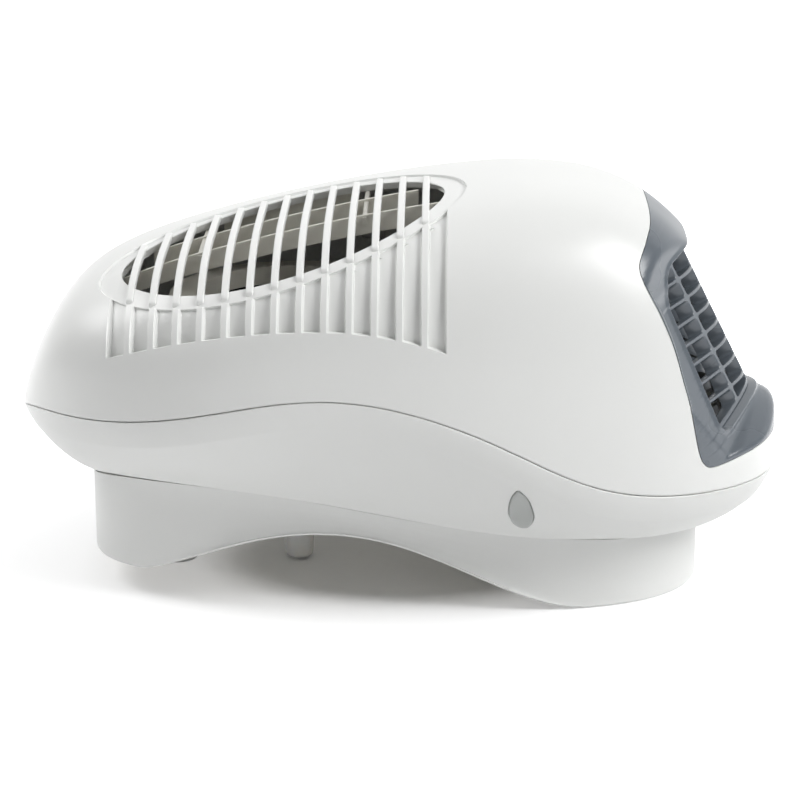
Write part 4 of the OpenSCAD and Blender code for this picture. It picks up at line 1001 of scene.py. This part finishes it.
def cellTool(y0, y1, z0, z1):
    # the rows run level, so on the leaning face they rise toward the sides
    o = outlet
    low, high = o["low"] + o["cellMargin"], o["high"] - o["cellMargin"]
    first, last = z0 - o["low"] < 2, o["high"] - z1 < 2
    r, f, front = o["cellRound"], o["cellFlare"], o["grilleSet"]
    corners = ((y1 - r, z1 - r, 0, 90), (y0 + r, z1 - r, 90, 180),
               (y0 + r, z0 + r, 180, 270), (y1 - r, z0 + r, 270, 360))
    levels = ((f + 0.35, -3.0), (f, front - 0.02), (0.1, front + 0.25), (0.0, front + 0.5), (0.0, front + 12))
    rings = []
    for grow, depth in levels:
        y, z = np.array(divided(arcs(corners, r + grow, 6), lambda gap: 6 if gap > 2.5 else 1)).T
        rise = (noseBack(np.clip(y, -o["riseReach"], o["riseReach"])) - o["riseFrom"]) * o["rowRise"]
        foot = low if first else np.maximum(z0 + rise, low)
        head = high if last else np.minimum(z1 + rise, high)
        z = foot + (head - foot) * (z - z0) / (z1 - z0)
        rings.append(faceToWorld(np.stack([-noseBack(y) - depth, y, z], -1)))
    return np.concatenate(rings), lidFaces(len(rings), len(rings[0]))


def outletGrille():
    o = outlet
    # the plate's two faces are drawn as rows, so that they follow the curve
    ys, zs = np.linspace(-48, 48, 81), np.linspace(-40, 42, 12)
    pts = [tuple(faceToWorld((-float(noseBack(y)) - d, y, z)))
           for d in (o["grilleSet"], o["grilleSet"] + o["grilleDepth"]) for z in zs for y in ys]
    n, m = len(ys), len(zs)
    q = n * m
    faces = gridFaces(m, n) + [tuple(a + q for a in f[::-1]) for f in gridFaces(m, n)]
    rim = [j for j in range(n)] + [i * n + n - 1 for i in range(1, m)]
    rim += [(m - 1) * n + j for j in range(n - 2, -1, -1)] + [i * n for i in range(m - 2, 0, -1)]
    faces += [(a, b, b + q, a + q)[::-1] for a, b in zip(rim, rim[1:] + rim[:1])]
    slab = makeObject("slab", pts, faces, greyAbs, None)
    cut(slab, outletTool("outline", [(-o["gap"], -30), (-o["gap"], 40)]), "INTERSECT")
    half, low, high, margin = o["halfWidth"], o["low"], o["high"], o["cellMargin"]
    columnWidth, rowHeight = 2 * half / o["columns"], (high - low) / o["rows"]
    columnBar, rowBar = o["columnBar"] / 2, o["rowBar"] / 2
    pts, faces = [], []
    for c in range(o["columns"]):
        for r in range(o["rows"]):
            z0, z1 = low + r * rowHeight + rowBar, low + (r + 1) * rowHeight - rowBar
            y0, y1 = -half + c * columnWidth + columnBar, -half + (c + 1) * columnWidth - columnBar
            z0, z1 = max(z0, low + margin), min(z1, high - margin)
            # the outer cells reach the leaning sides of the opening
            reach = half + o["taper"] - 2 * o["taper"] * ((z1 + z0) / 2 - low) / (high - low) - margin
            if c == 0:
                y0 = -reach
            if c == o["columns"] - 1:
                y1 = reach
            gather(pts, faces, cellTool(y0, y1, z0, z1))
    cut(slab, makeObject("cells", pts, faces, None, None))
    slab.name = "outletGrille"
    finishMesh(slab, sharp=30)
    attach(slab, "casing")
    return slab


# Making the pieces

cover = coverSkin()
modify(cover, "SOLIDIFY", {"thickness": body["wall"] * mm, "offset": -1})
cut(cover, sideZone("coverZone", outlet["gap"]))
finishMesh(cover, sharp=30)
ribs = intakeRibs()
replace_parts(cover, "top_cover")
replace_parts(ribs, "top_cover")
print("cover:", len(cover.data.polygons), "faces")
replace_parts(guardBlades(), "intake_guard")
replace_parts(lowerShell(), "lower_shell")
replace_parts(wallBase(), "wall_base")
print("shell and base ready")
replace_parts(outletFrame(), "outlet_frame")
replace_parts(outletGrille(), "outlet_grille")
print("outlet ready")
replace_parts(powerButton(), "power_button")
pad = supportPost()
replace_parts(bpy.data.objects["supportPost"], "support_post")
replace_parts(pad, "post_pad")
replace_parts(cableSleeve(), "cable_gland")
print("button, post and sleeve ready")


# Floor, backdrop, lights and camera

studio = {
    "floor": "#F4F4F4", "floorCloud": "#F2F2F3", "world": 0.19,
    # the floor's glow under, beside and away from the object, and where it changes, in mm: dim under and
    # beside the object, it paints a shadow there on top of the cast one
    "paintedShadowCoreGlow": 0.03, "paintedShadowRimGlow": 0.33, "farGlow": 1.0, "core": (60, 95), "around": (130, 320),
    "lens": 117, "cameraAt": (0.0185, -1.0612, 0.4171), "aim": (0, 0, 0.0722),
}
# Place, aim, size in metres and power of each light
softboxes = {
    "keyBox": ((1.7, -0.6, 1.7), (0.05, 0, 0.08), (1.0, 1.2), 45.0),
    "leftBox": ((-1.7, 0.45, 1.7), (-0.05, 0, 0.08), (1.2, 1.2), 28.0),
    "topBox": ((0.1, 0.4, 2.2), (0, 0, 0), (1.8, 1.8), 2.5),
}


def floorMaterial():
    m, t, _ = newMaterial("painted studio floor")
    t.nodes.clear()
    out = addNode(t, "OutputMaterial")
    path = addNode(t, "LightPath")
    cloud = addNode(t, "TexNoise", None, {"Vector": (mapped(t), 0), "Scale": 1 / 220, "Detail": 2.0})
    light, cloudy = hexColour(studio["floor"]), hexColour(studio["floorCloud"])
    tone = addNode(t, "Mix", {"data_type": "RGBA"}, {"Factor": (cloud, 0), "A": light, "B": cloudy})
    matt = addNode(t, "BsdfDiffuse", None, {"Color": (tone, 2)})
    # white away from the object; the glow dims under and beside it, a painted shadow added to the cast one
    away = addNode(t, "VectorMath", {"operation": "LENGTH"}, {0: (mapped(t, (1, 1.5, 1)), 0)})
    # a painted shadow: the glow is least under the object and rises to white over these two ramps
    under, around = [
        addNode(t, "MapRange", {"interpolation_type": "SMOOTHSTEP"},
                {"Value": (away, "Value"), "From Min": start, "From Max": end, "To Min": low, "To Max": high})
        for (start, end), low, high in ((studio["core"], studio["paintedShadowCoreGlow"], studio["paintedShadowRimGlow"]),
                                        (studio["around"], 0.0, studio["farGlow"] - studio["paintedShadowRimGlow"]))]
    fade = addNode(t, "Math", {"operation": "ADD"}, {0: (under, 0), 1: (around, 0)})
    seen = addNode(t, "Math", {"operation": "MAXIMUM"},
                   {0: (path, "Is Camera Ray"), 1: (path, "Is Glossy Ray")})
    level = addNode(t, "Math", {"operation": "MULTIPLY"}, {0: (seen, 0), 1: (fade, 0)})
    glow = addNode(t, "Emission", None, {"Color": (1, 1, 1, 1), "Strength": (level, 0)})
    both = addNode(t, "AddShader", None, {0: (matt, 0), 1: (glow, 0)})
    setInputs(t, out, {"Surface": (both, 0)})
    return m


def floorSheet():
    # a sheet that curves up far behind, as a studio roll does
    bend = [(4.0 + 2.0 * math.sin(a), 2.0 - 2.0 * math.cos(a)) for a in np.linspace(0.1, math.pi / 2, 12)]
    profile = [(-9.0, 0.0), (4.0, 0.0)] + bend + [(6.0, 9.0)]
    pts = [(x, y, z) for y, z in profile for x in (-12.0, 12.0)]
    faces = gridFaces(len(profile), 2)
    mesh = bpy.data.meshes.new("studioFloor")
    mesh.from_pydata(pts, [], faces)
    mesh.shade_smooth()
    mesh.materials.append(floorMaterial())
    o = addObject("studioFloor", mesh)


def aim(o, at, toward):
    o.location = at
    o.rotation_euler = (Vector(toward) - Vector(at)).to_track_quat("-Z", "Y").to_euler()


floorSheet()
for name, (at, toward, size, power) in softboxes.items():
    lamp = bpy.data.lights.new(name, "AREA")
    lamp.shape, lamp.size, lamp.size_y, lamp.energy = "RECTANGLE", size[0], size[1], power
    aim(addObject(name, lamp), at, toward)

world = bpy.data.worlds.new("studio air")
scene.world = world
world.use_nodes = True
wt = world.node_tree
wt.nodes.clear()
wOut = addNode(wt, "OutputWorld")
wPath = addNode(wt, "LightPath")
# white to the camera, also through anything clear, and dim as a light
wSeen = addNode(wt, "Math", {"operation": "MAXIMUM"},
                {0: (wPath, "Is Camera Ray"), 1: (wPath, "Is Transmission Ray")})
wLevel = addNode(wt, "MapRange", None, {"Value": (wSeen, 0), "To Min": studio["world"], "To Max": 1.0})
wBack = addNode(wt, "Background", None, {"Color": (1, 1, 1, 1), "Strength": (wLevel, 0)})
setInputs(wt, wOut, {"Surface": (wBack, 0)})

lens = bpy.data.cameras.new("camera")
lens.lens = studio["lens"]
lens.sensor_width = 36
lens.clip_end = 60
cameraObject = addObject("camera", lens)
aim(cameraObject, studio["cameraAt"], studio["aim"])
scene.camera = cameraObject
scene.view_settings.view_transform = "Standard"
